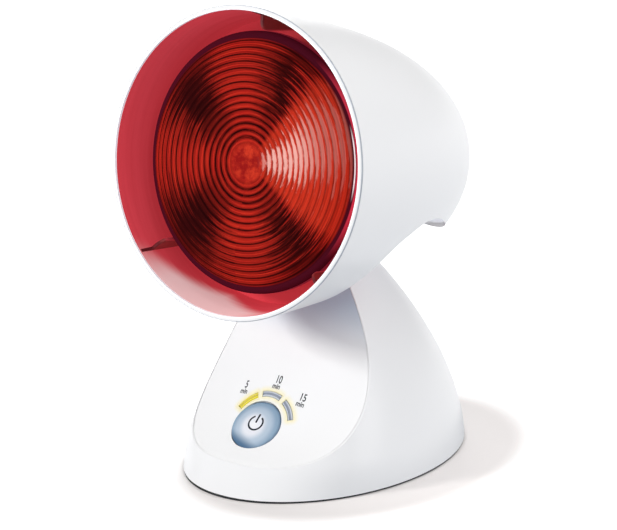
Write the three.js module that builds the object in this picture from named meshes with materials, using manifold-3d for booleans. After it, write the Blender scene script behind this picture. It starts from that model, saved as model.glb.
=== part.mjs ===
// Infrared heat therapy lamp: a tilting hood with a red reflector bulb on a scooped, bell-shaped base.
// Lengths are millimetres. +Z is up, the lamp faces -Y, and X = 0 is its mirror plane.
import * as THREE from 'three';
import { mergeVertices } from 'three/addons/utils/BufferGeometryUtils.js';
import Module from 'manifold-3d';

const wasm = await Module();
wasm.setup();

const GAP = 0.3;
const OVERRUN = 40;
const DEGREE = Math.PI / 180;
const TURN = 2 * Math.PI;

// Base: a bell whose plan is an ellipse on the floor, blunter at the front above the lip.
const base = {
  halfWidth: 58.1,
  frontReach: 81.5,
  rearReach: 81.5,
  waistHeight: 91.3,
  waistHalfWidth: 25.7,
  waistFront: 33.5,
  waistRear: 30.2,
  waistShift: 5.8,
  topHeight: 102,
  crownHeight: 7,
  lipHeight: 14,
  wall: 2.2,
  floorGap: 1,
};
const BASE_SIDE_CURVE = 1.68;
const BASE_FRONT_CURVE = 0.83;
const BASE_FRONT_SQUARENESS = 2.3;
const BASE_SIDES = 36;
const BASE_LEVEL_SHARES = [0, 0.12, 0.3, 0.48, 0.66, 0.83, 1];
const CROWN_LEVEL_SHARES = [0.7, 1];

// Front panel: a hollow ellipse seen from the side, crowned from side to side.
const panel = {
  neckFront: 13.8,
  reach: 87.7,
  drop: 119.7,
  floor: 6.75,
  crownRadius: 84.7,
  thickness: 1.2,
  backing: 2,
  rim: 0.9,
};
const PANEL_STEPS = 9;
const PANEL_CROWN_STEPS = 10;

// Base plate, its feet and screws, the cord inlet and the terminal block.
const plate = { thickness: 2.8, bossRadius: 4, bossSideSetIn: 18.1, bossEndSetIn: 37.5, bossHeight: 40 };
const foot = { radius: 6, thickness: 2.2, sideSetIn: 32.1, endSetIn: 25.5 };
const screw = { radius: 1.5, headRadius: 3, headHeight: 1.4, cover: 0.3, length: 9 };
const inlet = { height: 13, boreRadius: 3.4, neckRadius: 5, flangeRadius: 7, flangeThickness: 1.5 };
const terminal = { width: 26, length: 12, height: 14, wellRadius: 2.2, wellDepth: 6, setIn: 22 };
const TERMINAL_WAYS = 3;

// Controls: button, light bars and timer board, square to the panel at the button.
const CONTROL_ANGLE = 34.2 * DEGREE;
const button = {
  radius: 12.3,
  play: 0.4,
  dome: 2.2,
  wall: 1.5,
  skirt: 5.6,
  flange: 1.2,
  flangeThickness: 1,
  stemRadius: 2,
  travel: 0.8,
};
const BUTTON_DOME_SHARES = [[0, 1], [0.5, 0.86], [0.8, 0.55], [0.96, 0.2], [1, 0]];
const bar = { innerRadius: 15, outerRadius: 17.8, depth: 4.2 };
const BAR_HALF_ANGLE = 19.5 * DEGREE;
const BAR_SPACING = 49 * DEGREE;
const BAR_STEPS = 5;
const board = {
  halfWidth: 27,
  low: 16,
  high: 22,
  depth: 11,
  thickness: 1.6,
  postX: 23,
  postDrop: 8,
  postRadius: 2.6,
  screwRadius: 1.3,
  screwLength: 5,
};
const led = { radius: 1.5, flangeRadius: 1.9, flangeHeight: 0.8, height: 6 };
const keySwitch = { side: 6, plungerRadius: 1.7, plungerHeight: 1 };
const relay = { width: 19, length: 15, height: 15, offset: -12.5 };
const capacitor = { width: 18, length: 8, height: 11, offset: 13 };

// Neck fork and tilt axle.
const fork = { halfGap: 9.2, cheek: 4, floorThickness: 2.4, pivotBelowTop: 6, pivotSetBack: 6, frontRoom: 1.2 };
const pivot = {
  radius: 3,
  headRadius: 5,
  headHeight: 3,
  socketRadius: 2.1,
  socketDepth: 1.8,
  insertRadius: 4.6,
  insertLength: 6,
  insertWall: 2,
};
const washer = { radius: 7, thickness: 1 };
const knuckle = { radius: 7.5 };
const detent = { notchRadius: 1.3, notchCentre: 7.9, noseHalfWidth: 0.4, room: 3, width: 5, strip: 0.5, reach: 8 };
const DETENT_PITCH = 9 * DEGREE;
const DETENT_STEPS = [-1, 0, 1, 2, 3];
const SPRING_FLAT_SHARE = 0.5;

// Bulb: pressed-glass reflector bulb, 121 mm across, with a 27 mm screw cap.
const bulb = {
  radius: 60.5,
  setBack: 14.3,
  dome: 7,
  glass: 2.8,
  bead: 3,
  waistRadius: 44.6,
  waistDepth: 40,
  throatRadius: 24,
  throatDepth: 72,
  neckRadius: 19,
  neckDepth: 92,
  bodyDepth: 98,
};

// Hood: a blunt shell of revolution round the bulb, open in front and through an oval underneath.
const HOOD_ROOM = 12;
const hood = {
  radius: bulb.radius + HOOD_ROOM,
  length: 157.5,
  wall: 2.2,
  lipRound: 0.7,
  linerStart: 1.2,
  linerLength: 34,
  linerThickness: 0.6,
  linerFlange: 0.8,
  linerLap: 3,
  openingSideSetIn: 13.5,
  openingFront: 38,
  openingWidest: 66,
  openingRear: 137.5,
  pivotBack: 85.5,
  pivotDrop: 47.5,
};
const HOOD_TILT = 10.8 * DEGREE;
const HOOD_TAPER_SHARE = 0.245;
const HOOD_ROUNDING = 3.48;
const HOOD_FULLNESS = 2.18;
const HOOD_SIDES = 36;
const HOOD_STEPS = 9;
const OPENING_SQUARENESS = 3.5;
const OPENING_STEPS = 28;
const fin = { thickness: 1.6, start: 4, rise: 7, bulbPlay: 0.6 };
const FIN_ANGLES = [0, 120, 240];

// Screw cap of the bulb, its stem and its filament
const cap = {
  flareRadius: 17.5,
  radius: 13.1,
  flare: 5,
  length: 26,
  wall: 0.6,
  insulatorDepth: 2.2,
  tipRadius: 4.5,
  tipHeight: 2.8,
};
const stem = { flange: 2, radius: 4, depth: 62 };
const filament = { arcRadius: 9, wire: 0.9, depth: 38, leadRadius: 0.6, leadSpacing: 4 };
const FILAMENT_SWEEP = 270 * DEGREE;
const FILAMENT_STEPS = 8;
const BULB_SIDES = 32;

// Facets of round pieces
const ROUND_SIDES = 24;
const PIN_SIDES = 14;
const SCREW_SIDES = 8;

// Lamp holder, its bracket and the arm down to the pivot.
const holder = {
  wall: 5.4,
  length: 30,
  back: 2.2,
  chamfer: 4.5,
  sleeveWall: 0.5,
  contactWidth: 9,
  contactThickness: 4,
  flange: 6,
  flangeThickness: 3.4,
  flangeSetBack: 4.6,
};
const bracket = { thickness: 1.3, armWidth: 10, wallRoom: 3.2, bossRadius: 4, bossSetIn: 5, legDrop: 36 };
const BRACKET_ARM_ANGLES = [20, 90, 160];
const arm = { halfWidth: 5, web: 8, footHalfWidth: 7, footLength: 5.5, footHeight: 13, screwX: 3.5 };
const ARM_SCREW_HEAD = 2.4;

// Places that follow from the sizes above
const PIVOT_Y = fork.pivotSetBack;
const PIVOT_Z = base.topHeight - fork.pivotBelowTop;
const FORK_FLOOR = PIVOT_Z - knuckle.radius - detent.room;
const CHEEK_OUTSIDE = fork.halfGap + fork.cheek;
const BACK_DEPTH = panel.thickness + GAP + panel.backing;
const PLATE_TOP = base.floorGap + plate.thickness;
const BULB_BACK = bulb.setBack + bulb.bodyDepth;
const CAP_START = BULB_BACK + GAP;
const CAP_END = CAP_START + cap.length;
const SLEEVE_RADIUS = cap.radius + GAP;
const HOLDER_BORE = SLEEVE_RADIUS + holder.sleeveWall + GAP;
const HOLDER_RADIUS = HOLDER_BORE + holder.wall;
const FLANGE_RADIUS = HOLDER_RADIUS + holder.flange;
const HOLDER_START = CAP_START + cap.flare + GAP;
const HOLDER_END = HOLDER_START + holder.length;
const BRACKET_END = HOLDER_START + holder.flangeSetBack - GAP;
const BRACKET_START = BRACKET_END - bracket.thickness;
const FLANGE_START = BRACKET_END + GAP;
const FOOT_BACK = BRACKET_START - GAP;
const BRACKET_REACH = hoodRadius(BRACKET_END, hood.wall) - bracket.wallRoom;
const BOSS_PLACES = floorPlaces(plate.bossSideSetIn, plate.bossEndSetIn);
const FOOT_PLACES = floorPlaces(foot.sideSetIn, foot.endSetIn);

const materials = {
  shell: finish(0xf1f2f4, 0.28, 0),
  panel: finish(0xf6f6f7, 0.22, 0),
  grey: finish(0xb9bec4, 0.5, 0),
  black: finish(0x26272a, 0.6, 0),
  rubber: finish(0x2b2c2e, 0.9, 0),
  button: finish(0x9fb4cd, 0.25, 0),
  lit: finish(0xf0c63a, 0.3, 0),
  unlit: finish(0xb4bac6, 0.3, 0),
  board: finish(0x2f6b46, 0.5, 0),
  red: finish(0xb73642, 0.25, 0),
  lens: finish(0xd4301f, 0.1, 0),
  glass: finish(0xb02a24, 0.15, 0),
  ceramic: finish(0xece6da, 0.4, 0),
  steel: finish(0xa9adb2, 0.35, 1),
  brass: finish(0xc9a14e, 0.3, 1),
};

function finish(color, roughness, metalness) {
  return new THREE.MeshStandardMaterial({ color, roughness, metalness });
}

// Solids and meshes

function solid(geometry) {
  geometry.deleteAttribute('normal');
  geometry.deleteAttribute('uv');
  const merged = mergeVertices(geometry, 1e-4);
  const vertProperties = new Float32Array(merged.attributes.position.array);
  const triVerts = new Uint32Array(merged.index.array);
  return new wasm.Manifold(new wasm.Mesh({ numProp: 3, vertProperties, triVerts }));
}

function geometryOf(body) {
  const mesh = body.getMesh();
  const geometry = new THREE.BufferGeometry();
  geometry.setAttribute('position', new THREE.BufferAttribute(new Float32Array(mesh.vertProperties), 3));
  geometry.setIndex(new THREE.BufferAttribute(new Uint32Array(mesh.triVerts), 1));
  return geometry;
}

function piece(name, shape, material) {
  const geometry = shape.isBufferGeometry ? shape : geometryOf(shape);
  const mesh = new THREE.Mesh(geometry, material.clone());
  mesh.name = name;
  return mesh;
}

function pieces(name, shapes, material) {
  return shapes.map((shape, i) => piece(`${name}_${i + 1}`, shape, material));
}

function union(shapes) {
  return shapes.reduce((whole, shape) => whole.add(shape));
}

function box(x0, x1, y0, y1, z0, z1) {
  const geometry = new THREE.BoxGeometry(x1 - x0, y1 - y0, z1 - z0);
  return geometry.translate((x0 + x1) / 2, (y0 + y1) / 2, (z0 + z1) / 2);
}

function rodX(radius, x0, x1, sides) {
  const geometry = new THREE.CylinderGeometry(radius, radius, x1 - x0, sides);
  return geometry.rotateZ(-Math.PI / 2).translate((x0 + x1) / 2, 0, 0);
}

function rodY(radius, y0, y1, sides) {
  return new THREE.CylinderGeometry(radius, radius, y1 - y0, sides).translate(0, (y0 + y1) / 2, 0);
}

function rodZ(radius, z0, z1, sides) {
  const geometry = new THREE.CylinderGeometry(radius, radius, z1 - z0, sides);
  return geometry.rotateX(Math.PI / 2).translate(0, 0, (z0 + z1) / 2);
}

// A screw that points up the Z axis: the underside of its head is at Z = 0.
function screwBody(headRadius, headHeight, radius, length) {
  return solid(rodZ(headRadius, -headHeight, 0, PIN_SIDES)).add(solid(rodZ(radius, -headHeight, length, SCREW_SIDES)));
}

// A profile of [radius, height] pairs, turned about the Y axis with its faces pointing out.
function revolve(profile, sides) {
  const points = profile.map(([radius, height]) => new THREE.Vector2(radius, height));
  if (THREE.ShapeUtils.area(points) < 0) {
    points.reverse();
  }
  return new THREE.LatheGeometry(points, sides);
}

// A profile whose two ends meet, turned the same way.
function revolveRing(profile, sides) {
  return revolve([...profile, profile[0]], sides);
}

// Closed rings of points, from the lowest to the highest, joined into one closed body.
function loft(rings) {
  const count = rings[0].length;
  const top = (rings.length - 1) * count;
  const points = [...rings.flat(), centreOf(rings[0]), centreOf(rings[rings.length - 1])];
  const low = points.length - 2;
  const high = points.length - 1;
  const index = [];
  for (let i = 0; i < count; i += 1) {
    const next = (i + 1) % count;
    index.push(low, next, i, high, top + i, top + next);
    for (let k = 0; k < top; k += count) {
      index.push(k + i, k + next, k + count + next, k + i, k + count + next, k + count + i);
    }
  }
  return new THREE.BufferGeometry().setFromPoints(points).setIndex(index);
}

function centreOf(ring) {
  const sum = ring.reduce((total, point) => total.add(point), new THREE.Vector3());
  return sum.divideScalar(ring.length);
}

// A shape drawn in (y, z) and drawn out across x, half of its width to each side.
function drawnAcross(shape, width, steps) {
  const geometry = new THREE.ExtrudeGeometry(shape, { depth: width, steps, bevelEnabled: false });
  const place = geometry.attributes.position;
  for (let i = 0; i < place.count; i += 1) {
    place.setXYZ(i, place.getZ(i) - width / 2, place.getX(i), place.getY(i));
  }
  return geometry;
}

// Four places near the corners of the floor, set in from the base's sides and ends.
function floorPlaces(sideSetIn, endSetIn) {
  const x = base.halfWidth - sideSetIn;
  const front = endSetIn - base.frontReach;
  const rear = base.rearReach - endSetIn;
  return [[-x, front], [x, front], [-x, rear], [x, rear]];
}

function sidePower(value, power) {
  return Math.sign(value) * Math.abs(value) ** power;
}

// Base form

function narrowed(ground, waist, height, curve) {
  return ground - (ground - waist) * (Math.max(height, 0) / base.waistHeight) ** curve;
}

function crownInset(height, inset) {
  const start = base.topHeight - inset - base.crownHeight;
  const rise = Math.min(Math.max((height - start) / base.crownHeight, 0), 1);
  return base.crownHeight * (1 - Math.sqrt(1 - rise * rise));
}

function bellRing(height, inset) {
  const shrink = inset + crownInset(height, inset);
  const middle = -base.waistShift * (height / base.waistHeight) ** 2;
  const half = narrowed(base.halfWidth, base.waistHalfWidth, height, BASE_SIDE_CURVE) - shrink;
  const rear = narrowed(base.rearReach, base.waistRear, height, BASE_SIDE_CURVE) - shrink - middle;
  const front = narrowed(base.frontReach, base.waistFront, height, BASE_FRONT_CURVE) - shrink + middle;
  const squareness = 2 + (BASE_FRONT_SQUARENESS - 2) * Math.min(Math.max(height, 0) / base.lipHeight, 1);
  return Array.from({ length: BASE_SIDES }, (_, i) => {
    const angle = TURN * i / BASE_SIDES;
    const inFront = Math.sin(angle) < 0;
    const power = inFront ? 2 / squareness : 1;
    const x = half * sidePower(Math.cos(angle), power);
    const y = middle + (inFront ? front : rear) * sidePower(Math.sin(angle), power);
    return new THREE.Vector3(x, y, height);
  });
}

function bell(inset, low) {
  const shoulder = base.topHeight - inset - base.crownHeight;
  const levels = [
    ...BASE_LEVEL_SHARES.map((share) => low + (shoulder - low) * share),
    ...CROWN_LEVEL_SHARES.map((share) => shoulder + base.crownHeight * share),
  ];
  return solid(loft(levels.map((height) => bellRing(height, inset))));
}

// How far back the wall reaches at a height, beside the middle by x.
function wallRear(x, height, inset) {
  const ring = bellRing(height, inset);
  const half = Math.max(...ring.map((point) => point.x));
  const rear = Math.max(...ring.map((point) => point.y));
  return rear * Math.sqrt(1 - (x / half) ** 2);
}

// Panel form: the air in front of the panel's face, moved back into the base by a depth.

function panelPoint(angle, depth) {
  const y = -panel.neckFront - panel.reach + (panel.reach + depth) * Math.sin(angle);
  const z = panel.floor + panel.drop - (panel.drop + depth) * Math.cos(angle);
  return new THREE.Vector2(y, z);
}

function panelAir(depth) {
  const arc = Array.from({ length: PANEL_STEPS + 1 }, (_, i) => panelPoint(TURN / 4 * i / PANEL_STEPS, depth));
  const front = -base.frontReach - OVERRUN;
  const outline = [...arc, new THREE.Vector2(front, arc[PANEL_STEPS].y), new THREE.Vector2(front, arc[0].y)];
  const width = 2 * (base.halfWidth + panel.rim);
  const geometry = drawnAcross(new THREE.Shape(outline), width, PANEL_CROWN_STEPS);
  const place = geometry.attributes.position;
  for (let i = 0; i < place.count; i += 1) {
    place.setY(i, place.getY(i) + place.getX(i) ** 2 / (2 * panel.crownRadius));
  }
  return geometry;
}

// Control frame: its origin is on the panel in the middle of the button, and its Z points out of the panel.

function controlMatrix() {
  const at = panelPoint(CONTROL_ANGLE, 0);
  const rise = panel.drop * Math.sin(CONTROL_ANGLE);
  const run = panel.reach * Math.cos(CONTROL_ANGLE);
  return new THREE.Matrix4().makeRotationX(Math.atan2(rise, run)).setPosition(0, at.x, at.y);
}

const CONTROL = controlMatrix();
const FROM_CONTROL = CONTROL.clone().invert();
const BAR_ANGLES = [-BAR_SPACING, 0, BAR_SPACING];
const BOARD_POSTS = [[-board.postX, -board.postDrop], [board.postX, -board.postDrop]];

function inBase(geometry) {
  return solid(geometry.applyMatrix4(CONTROL));
}

// One curved light bar round the button, grown on all sides by a margin and sunk by a depth.
function barPrism(middle, margin, depth) {
  const inner = bar.innerRadius - margin;
  const outer = bar.outerRadius + margin;
  const half = BAR_HALF_ANGLE + margin / bar.innerRadius;
  const angles = Array.from({ length: BAR_STEPS + 1 }, (_, i) => middle + half * (2 * i / BAR_STEPS - 1));
  const arc = (radius) => angles.map((angle) => new THREE.Vector2(radius * Math.sin(angle), radius * Math.cos(angle)));
  const shape = new THREE.Shape([...arc(outer), ...arc(inner).reverse()]);
  const settings = { depth: depth + OVERRUN, bevelEnabled: false };
  return new THREE.ExtrudeGeometry(shape, settings).translate(0, 0, -depth);
}

function panelCuts(depth) {
  const hole = inBase(rodZ(button.radius + button.play, -depth, OVERRUN, ROUND_SIDES));
  return union([hole, ...BAR_ANGLES.map((angle) => inBase(barPrism(angle, GAP, depth)))]);
}

// Base pieces

function screwHole([x, y]) {
  const low = base.floorGap;
  const high = low + screw.cover + screw.headHeight + screw.length + GAP;
  return solid(rodZ(screw.radius + GAP, low, high, SCREW_SIDES).translate(x, y, 0));
}

function atPivot(geometry) {
  return solid(geometry.translate(0, PIVOT_Y, PIVOT_Z));
}

// Neck cheeks and floor, screw bosses and board posts, as far as the inside of the wall.
function innerRibs() {
  const reach = base.waistFront;
  const slab = box(-CHEEK_OUTSIDE, CHEEK_OUTSIDE, -reach, reach, FORK_FLOOR - fork.floorThickness, base.topHeight);
  const insertEnd = fork.halfGap + pivot.insertLength + pivot.insertWall;
  const insertBoss = atPivot(rodX(pivot.insertRadius + pivot.insertWall, fork.halfGap, insertEnd, ROUND_SIDES));
  const bosses = BOSS_PLACES.map(([x, y]) => (
    solid(rodZ(plate.bossRadius, PLATE_TOP + GAP, plate.bossHeight, PIN_SIDES).translate(x, y, 0))
  ));
  const posts = BOARD_POSTS.map(([x, y]) => (
    inBase(rodZ(board.postRadius, GAP - board.depth, 0, SCREW_SIDES).translate(x, y, 0))
  ));
  return union([solid(slab), insertBoss, ...bosses, ...posts])
    .intersect(bell(base.wall / 2, 0))
    .subtract(solid(panelAir(BACK_DEPTH - panel.backing / 2)));
}

function forkCuts() {
  const front = PIVOT_Y - knuckle.radius - fork.frontRoom;
  const high = base.topHeight + OVERRUN;
  const slot = box(-fork.halfGap, fork.halfGap, front, base.rearReach, FORK_FLOOR, high);
  const bore = rodX(pivot.radius + GAP, -CHEEK_OUTSIDE - GAP, fork.halfGap + pivot.insertLength + GAP, PIN_SIDES);
  const insertHole = rodX(pivot.insertRadius + GAP, fork.halfGap - GAP, fork.halfGap + pivot.insertLength, ROUND_SIDES);
  const headHole = rodX(pivot.headRadius + pivot.socketDepth / 2, -base.halfWidth, -CHEEK_OUTSIDE, ROUND_SIDES);
  return union([solid(slot), atPivot(bore), atPivot(insertHole), atPivot(headHole)]);
}

function baseShell() {
  const outside = bell(0, base.floorGap).subtract(solid(panelAir(0)));
  const inside = bell(base.wall, base.floorGap - GAP).subtract(solid(panelAir(BACK_DEPTH)));
  const recess = bell(panel.rim, base.floorGap - GAP).intersect(solid(panelAir(panel.thickness + GAP)));
  const inletHole = solid(rodY(inlet.neckRadius + GAP, 0, base.rearReach + OVERRUN, PIN_SIDES).translate(0, 0, inlet.height));
  const screwHoles = BOSS_PLACES.map(screwHole);
  const postBores = BOARD_POSTS.map(([x, y]) => (
    inBase(rodZ(board.screwRadius + GAP, -OVERRUN, board.screwLength - board.depth, SCREW_SIDES).translate(x, y, 0))
  ));
  const cuts = union([recess, forkCuts(), panelCuts(board.depth / 2), inletHole, ...screwHoles, ...postBores]);
  return outside.subtract(inside).add(innerRibs()).subtract(cuts);
}

function frontPanel() {
  const sheet = bell(panel.rim + GAP, 0).intersect(solid(panelAir(panel.thickness)));
  return sheet.subtract(solid(panelAir(0))).subtract(panelCuts(board.depth));
}

function basePlate() {
  const inset = base.wall + GAP;
  const sheet = solid(loft([base.floorGap, PLATE_TOP].map((height) => bellRing(height, inset))));
  const footWells = FOOT_PLACES.map(([x, y]) => (
    solid(rodZ(foot.radius + GAP, 0, foot.thickness + GAP, PIN_SIDES).translate(x, y, 0))
  ));
  const screwWells = BOSS_PLACES.flatMap(([x, y]) => [
    solid(rodZ(screw.headRadius + GAP, 0, screwSeat() + GAP, PIN_SIDES).translate(x, y, 0)),
    screwHole([x, y]),
  ]);
  return sheet.subtract(union([...footWells, ...screwWells]));
}

function screwSeat() {
  return base.floorGap + screw.cover + screw.headHeight;
}

function inletRing() {
  const outside = wallRear(0, inlet.height - inlet.flangeRadius, 0) + GAP;
  const inside = wallRear(inlet.flangeRadius, inlet.height + inlet.flangeRadius, base.wall) - GAP;
  const edge = inlet.flangeThickness;
  return revolveRing([
    [inlet.boreRadius, inside - edge],
    [inlet.flangeRadius, inside - edge],
    [inlet.flangeRadius, inside],
    [inlet.neckRadius, inside],
    [inlet.neckRadius, outside],
    [inlet.flangeRadius, outside],
    [inlet.flangeRadius - edge / 2, outside + edge],
    [inlet.boreRadius, outside + edge],
  ], ROUND_SIDES).translate(0, 0, inlet.height);
}

function terminalBlock() {
  const rear = base.rearReach - terminal.setIn;
  const low = PLATE_TOP + GAP;
  const high = low + terminal.height;
  const body = solid(box(-terminal.width / 2, terminal.width / 2, rear - terminal.length, rear, low, high));
  const wells = Array.from({ length: TERMINAL_WAYS }, (_, i) => {
    const x = terminal.width * ((i + 0.5) / TERMINAL_WAYS - 0.5);
    const well = rodZ(terminal.wellRadius, high - terminal.wellDepth, high + GAP, SCREW_SIDES);
    return solid(well.translate(x, rear - terminal.length / 2, 0));
  });
  return body.subtract(union(wells));
}

// Control pieces, drawn in the control frame

function buttonFoot() {
  return -button.skirt;
}

function powerButton() {
  const low = buttonFoot();
  const roof = -button.wall;
  return revolve([
    ...BUTTON_DOME_SHARES.map(([across, up]) => [button.radius * across, button.dome * up]),
    [button.radius, low + button.flangeThickness],
    [button.radius + button.flange, low + button.flangeThickness],
    [button.radius + button.flange, low],
    [button.radius - button.wall, low],
    [button.radius - button.wall, roof],
    [button.stemRadius, roof],
    [button.stemRadius, low],
    [0, low],
  ], ROUND_SIDES).rotateX(Math.PI / 2);
}

function lightWindow(angle) {
  return solid(barPrism(angle, 0, bar.depth)).subtract(solid(panelAir(0).applyMatrix4(FROM_CONTROL)));
}

function ledBody(angle) {
  const radius = (bar.innerRadius + bar.outerRadius) / 2;
  const low = GAP - board.depth;
  const shoulder = low + led.height - led.radius;
  return revolve([
    [0, low],
    [led.flangeRadius, low],
    [led.flangeRadius, low + led.flangeHeight],
    [led.radius, low + led.flangeHeight],
    [led.radius, shoulder],
    [led.radius * Math.SQRT1_2, shoulder + led.radius * Math.SQRT1_2],
    [0, shoulder + led.radius],
  ], SCREW_SIDES).rotateX(Math.PI / 2).translate(radius * Math.sin(angle), radius * Math.cos(angle), 0);
}

function timerBoard() {
  const back = -board.depth - board.thickness;
  const sheet = solid(box(-board.halfWidth, board.halfWidth, -board.low, board.high, back, -board.depth));
  const holes = BOARD_POSTS.map(([x, y]) => solid(rodZ(board.screwRadius + GAP, -OVERRUN, 0, SCREW_SIDES).translate(x, y, 0)));
  return sheet.subtract(union(holes));
}

function boardScrews() {
  const seat = -board.depth - board.thickness - GAP;
  const length = board.screwLength - GAP - seat - board.depth;
  return BOARD_POSTS.map(([x, y]) => (
    geometryOf(screwBody(board.postRadius, board.screwRadius, board.screwRadius, length)).translate(x, y, seat)
  ));
}

function tactSwitch() {
  const low = GAP - board.depth;
  const high = buttonFoot() - button.travel - GAP;
  const half = keySwitch.side / 2;
  const body = solid(box(-half, half, -half, half, low, high - keySwitch.plungerHeight));
  return body.add(solid(rodZ(keySwitch.plungerRadius, low, high, PIN_SIDES)));
}

function behindBoard(block) {
  const top = -board.depth - board.thickness - GAP;
  const half = block.width / 2;
  return box(block.offset - half, block.offset + half, 0, block.length, top - block.height, top);
}

// Hood pieces, drawn about the hood's axis: Y runs back from the rim.

function hoodRadius(back, inset) {
  const share = Math.min(back / (hood.length - inset), 1);
  return (hood.radius - inset) * (1 - HOOD_TAPER_SHARE * share) * (1 - share ** HOOD_ROUNDING) ** (1 / HOOD_FULLNESS);
}

// Points of the hood's wall at an inset, closer together towards its closed end.
function hoodWall(inset, from, to, steps) {
  const end = hood.length - inset;
  const start = Math.asin(from / end);
  const stop = Math.asin(Math.min(to / end, 1));
  return Array.from({ length: steps + 1 }, (_, i) => {
    const back = end * Math.sin(start + (stop - start) * i / steps);
    return [hoodRadius(back, inset), back];
  });
}

function openingPrism() {
  const points = Array.from({ length: OPENING_STEPS }, (_, i) => {
    const angle = TURN * i / OPENING_STEPS;
    const inFront = Math.sin(angle) < 0;
    const reach = inFront ? hood.openingWidest - hood.openingFront : hood.openingRear - hood.openingWidest;
    const power = inFront ? 2 / OPENING_SQUARENESS : 1;
    const x = (hood.radius - hood.openingSideSetIn) * sidePower(Math.cos(angle), power);
    return new THREE.Vector2(x, hood.openingWidest + reach * sidePower(Math.sin(angle), power));
  });
  const settings = { depth: hood.radius, bevelEnabled: false };
  return new THREE.ExtrudeGeometry(new THREE.Shape(points), settings).translate(0, 0, -hood.radius);
}

function linerEnd() {
  return hood.linerStart + GAP + hood.linerLength;
}

function hoodShell() {
  const groove = hood.wall - hood.linerThickness - GAP;
  const grooveEnd = linerEnd() + GAP;
  const profile = [
    ...hoodWall(0, hood.lipRound, hood.length, HOOD_STEPS).reverse(),
    [hood.radius - hood.lipRound, 0],
    [hood.radius - hood.wall, 0],
    [hoodRadius(hood.linerStart, hood.wall), hood.linerStart],
    ...hoodWall(groove, hood.linerStart, grooveEnd, 2),
    ...hoodWall(hood.wall, grooveEnd, hood.length - hood.wall, HOOD_STEPS),
  ];
  const shell = solid(revolve(profile, HOOD_SIDES)).subtract(solid(openingPrism()));
  const middle = [[0, 0], ...hoodWall(hood.wall / 2, 0, hood.length - hood.wall / 2, HOOD_STEPS)];
  const bosses = union(bracketPlaces().map(([x, z]) => (
    solid(rodY(bracket.bossRadius, BRACKET_END + GAP, hood.length, PIN_SIDES).translate(x, 0, z))
  )));
  return shell.add(bosses.intersect(solid(revolve(middle, HOOD_SIDES)))).subtract(bracketHoles());
}

function linerFlangeStart() {
  return linerEnd() - hood.linerFlange;
}

// A red band whose flange closes the gap behind the bulb's edge.
function hoodLiner() {
  const from = hood.linerStart + GAP;
  const bore = bulb.radius - hood.linerLap;
  const outer = hoodWall(hood.wall - hood.linerThickness, from, linerEnd(), 2);
  const inner = hoodWall(hood.wall, from, linerFlangeStart(), 2).reverse();
  return revolveRing([...outer, [bore, linerEnd()], [bore, linerFlangeStart()], ...inner], HOOD_SIDES);
}

// A thin rib that centres the bulb: it leaves the liner in a curve.
function bulbFin() {
  const inner = bulb.radius + fin.bulbPlay;
  const crest = fin.start + fin.rise;
  const wall = (back) => hoodRadius(back, hood.wall) - GAP;
  const end = linerFlangeStart() - GAP;
  const outline = new THREE.Shape();
  outline.moveTo(wall(fin.start), fin.start);
  outline.quadraticCurveTo(wall(fin.start) - fin.thickness, crest, inner, crest);
  outline.lineTo(inner, end);
  outline.lineTo(wall(end), end);
  const settings = { depth: fin.thickness, bevelEnabled: false, curveSegments: 5 };
  return new THREE.ExtrudeGeometry(outline, settings).translate(0, 0, -fin.thickness / 2).rotateY(-TURN / 4);
}

// Bulb pieces, drawn about the hood's axis

function domeProfile(radius, front, sag) {
  return [0, 0.45, 0.8, 1].map((share) => [radius * share, front + sag * share * share]);
}

function bulbLens() {
  const front = bulb.setBack - bulb.dome;
  const back = bulb.setBack + bulb.bead;
  const rim = bulb.radius - bulb.bead;
  return revolve([
    ...domeProfile(rim, front, bulb.dome),
    [bulb.radius - bulb.bead / 3, bulb.setBack],
    [bulb.radius, bulb.setBack + bulb.bead / 3],
    [bulb.radius, back],
    ...domeProfile(rim, front + bulb.glass, back - front - bulb.glass).reverse(),
  ], BULB_SIDES);
}

function reflectorCurve(inset) {
  const points = [
    [bulb.radius, bulb.setBack + 2 * bulb.bead],
    [bulb.waistRadius, bulb.setBack + bulb.waistDepth],
    [bulb.throatRadius, bulb.setBack + bulb.throatDepth],
    [bulb.neckRadius, bulb.setBack + bulb.neckDepth],
  ].map(([radius, back]) => new THREE.Vector2(radius - inset, back));
  return new THREE.SplineCurve(points).getPoints(5).map((point) => [point.x, point.y]);
}

function bulbReflector() {
  const start = bulb.setBack + bulb.bead + GAP;
  return revolveRing([
    [bulb.radius, start],
    ...reflectorCurve(0),
    [bulb.neckRadius, BULB_BACK],
    [bulb.neckRadius - bulb.glass, BULB_BACK],
    ...reflectorCurve(bulb.glass).reverse(),
    [bulb.radius - bulb.glass, start],
  ], BULB_SIDES);
}

// The glass stem closes the neck and carries the filament's two leads.
function bulbStem() {
  const outer = bulb.neckRadius - bulb.glass - GAP;
  const front = bulb.setBack + stem.depth;
  return revolve([
    [0, front],
    [stem.radius, front],
    [stem.radius, BULB_BACK - stem.flange - stem.radius],
    [outer, BULB_BACK - stem.flange],
    [outer, BULB_BACK],
    [0, BULB_BACK],
  ], PIN_SIDES);
}

function bulbCap() {
  const inner = cap.radius - cap.wall;
  const bend = CAP_START + cap.flare / 2;
  return revolveRing([
    [cap.flareRadius, CAP_START],
    [cap.flareRadius, bend],
    [cap.radius, CAP_START + cap.flare],
    [cap.radius, CAP_END],
    [inner, CAP_END],
    [inner, CAP_START + cap.flare],
    [cap.flareRadius - cap.wall, bend],
    [cap.flareRadius - cap.wall, CAP_START],
  ], ROUND_SIDES);
}

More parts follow.
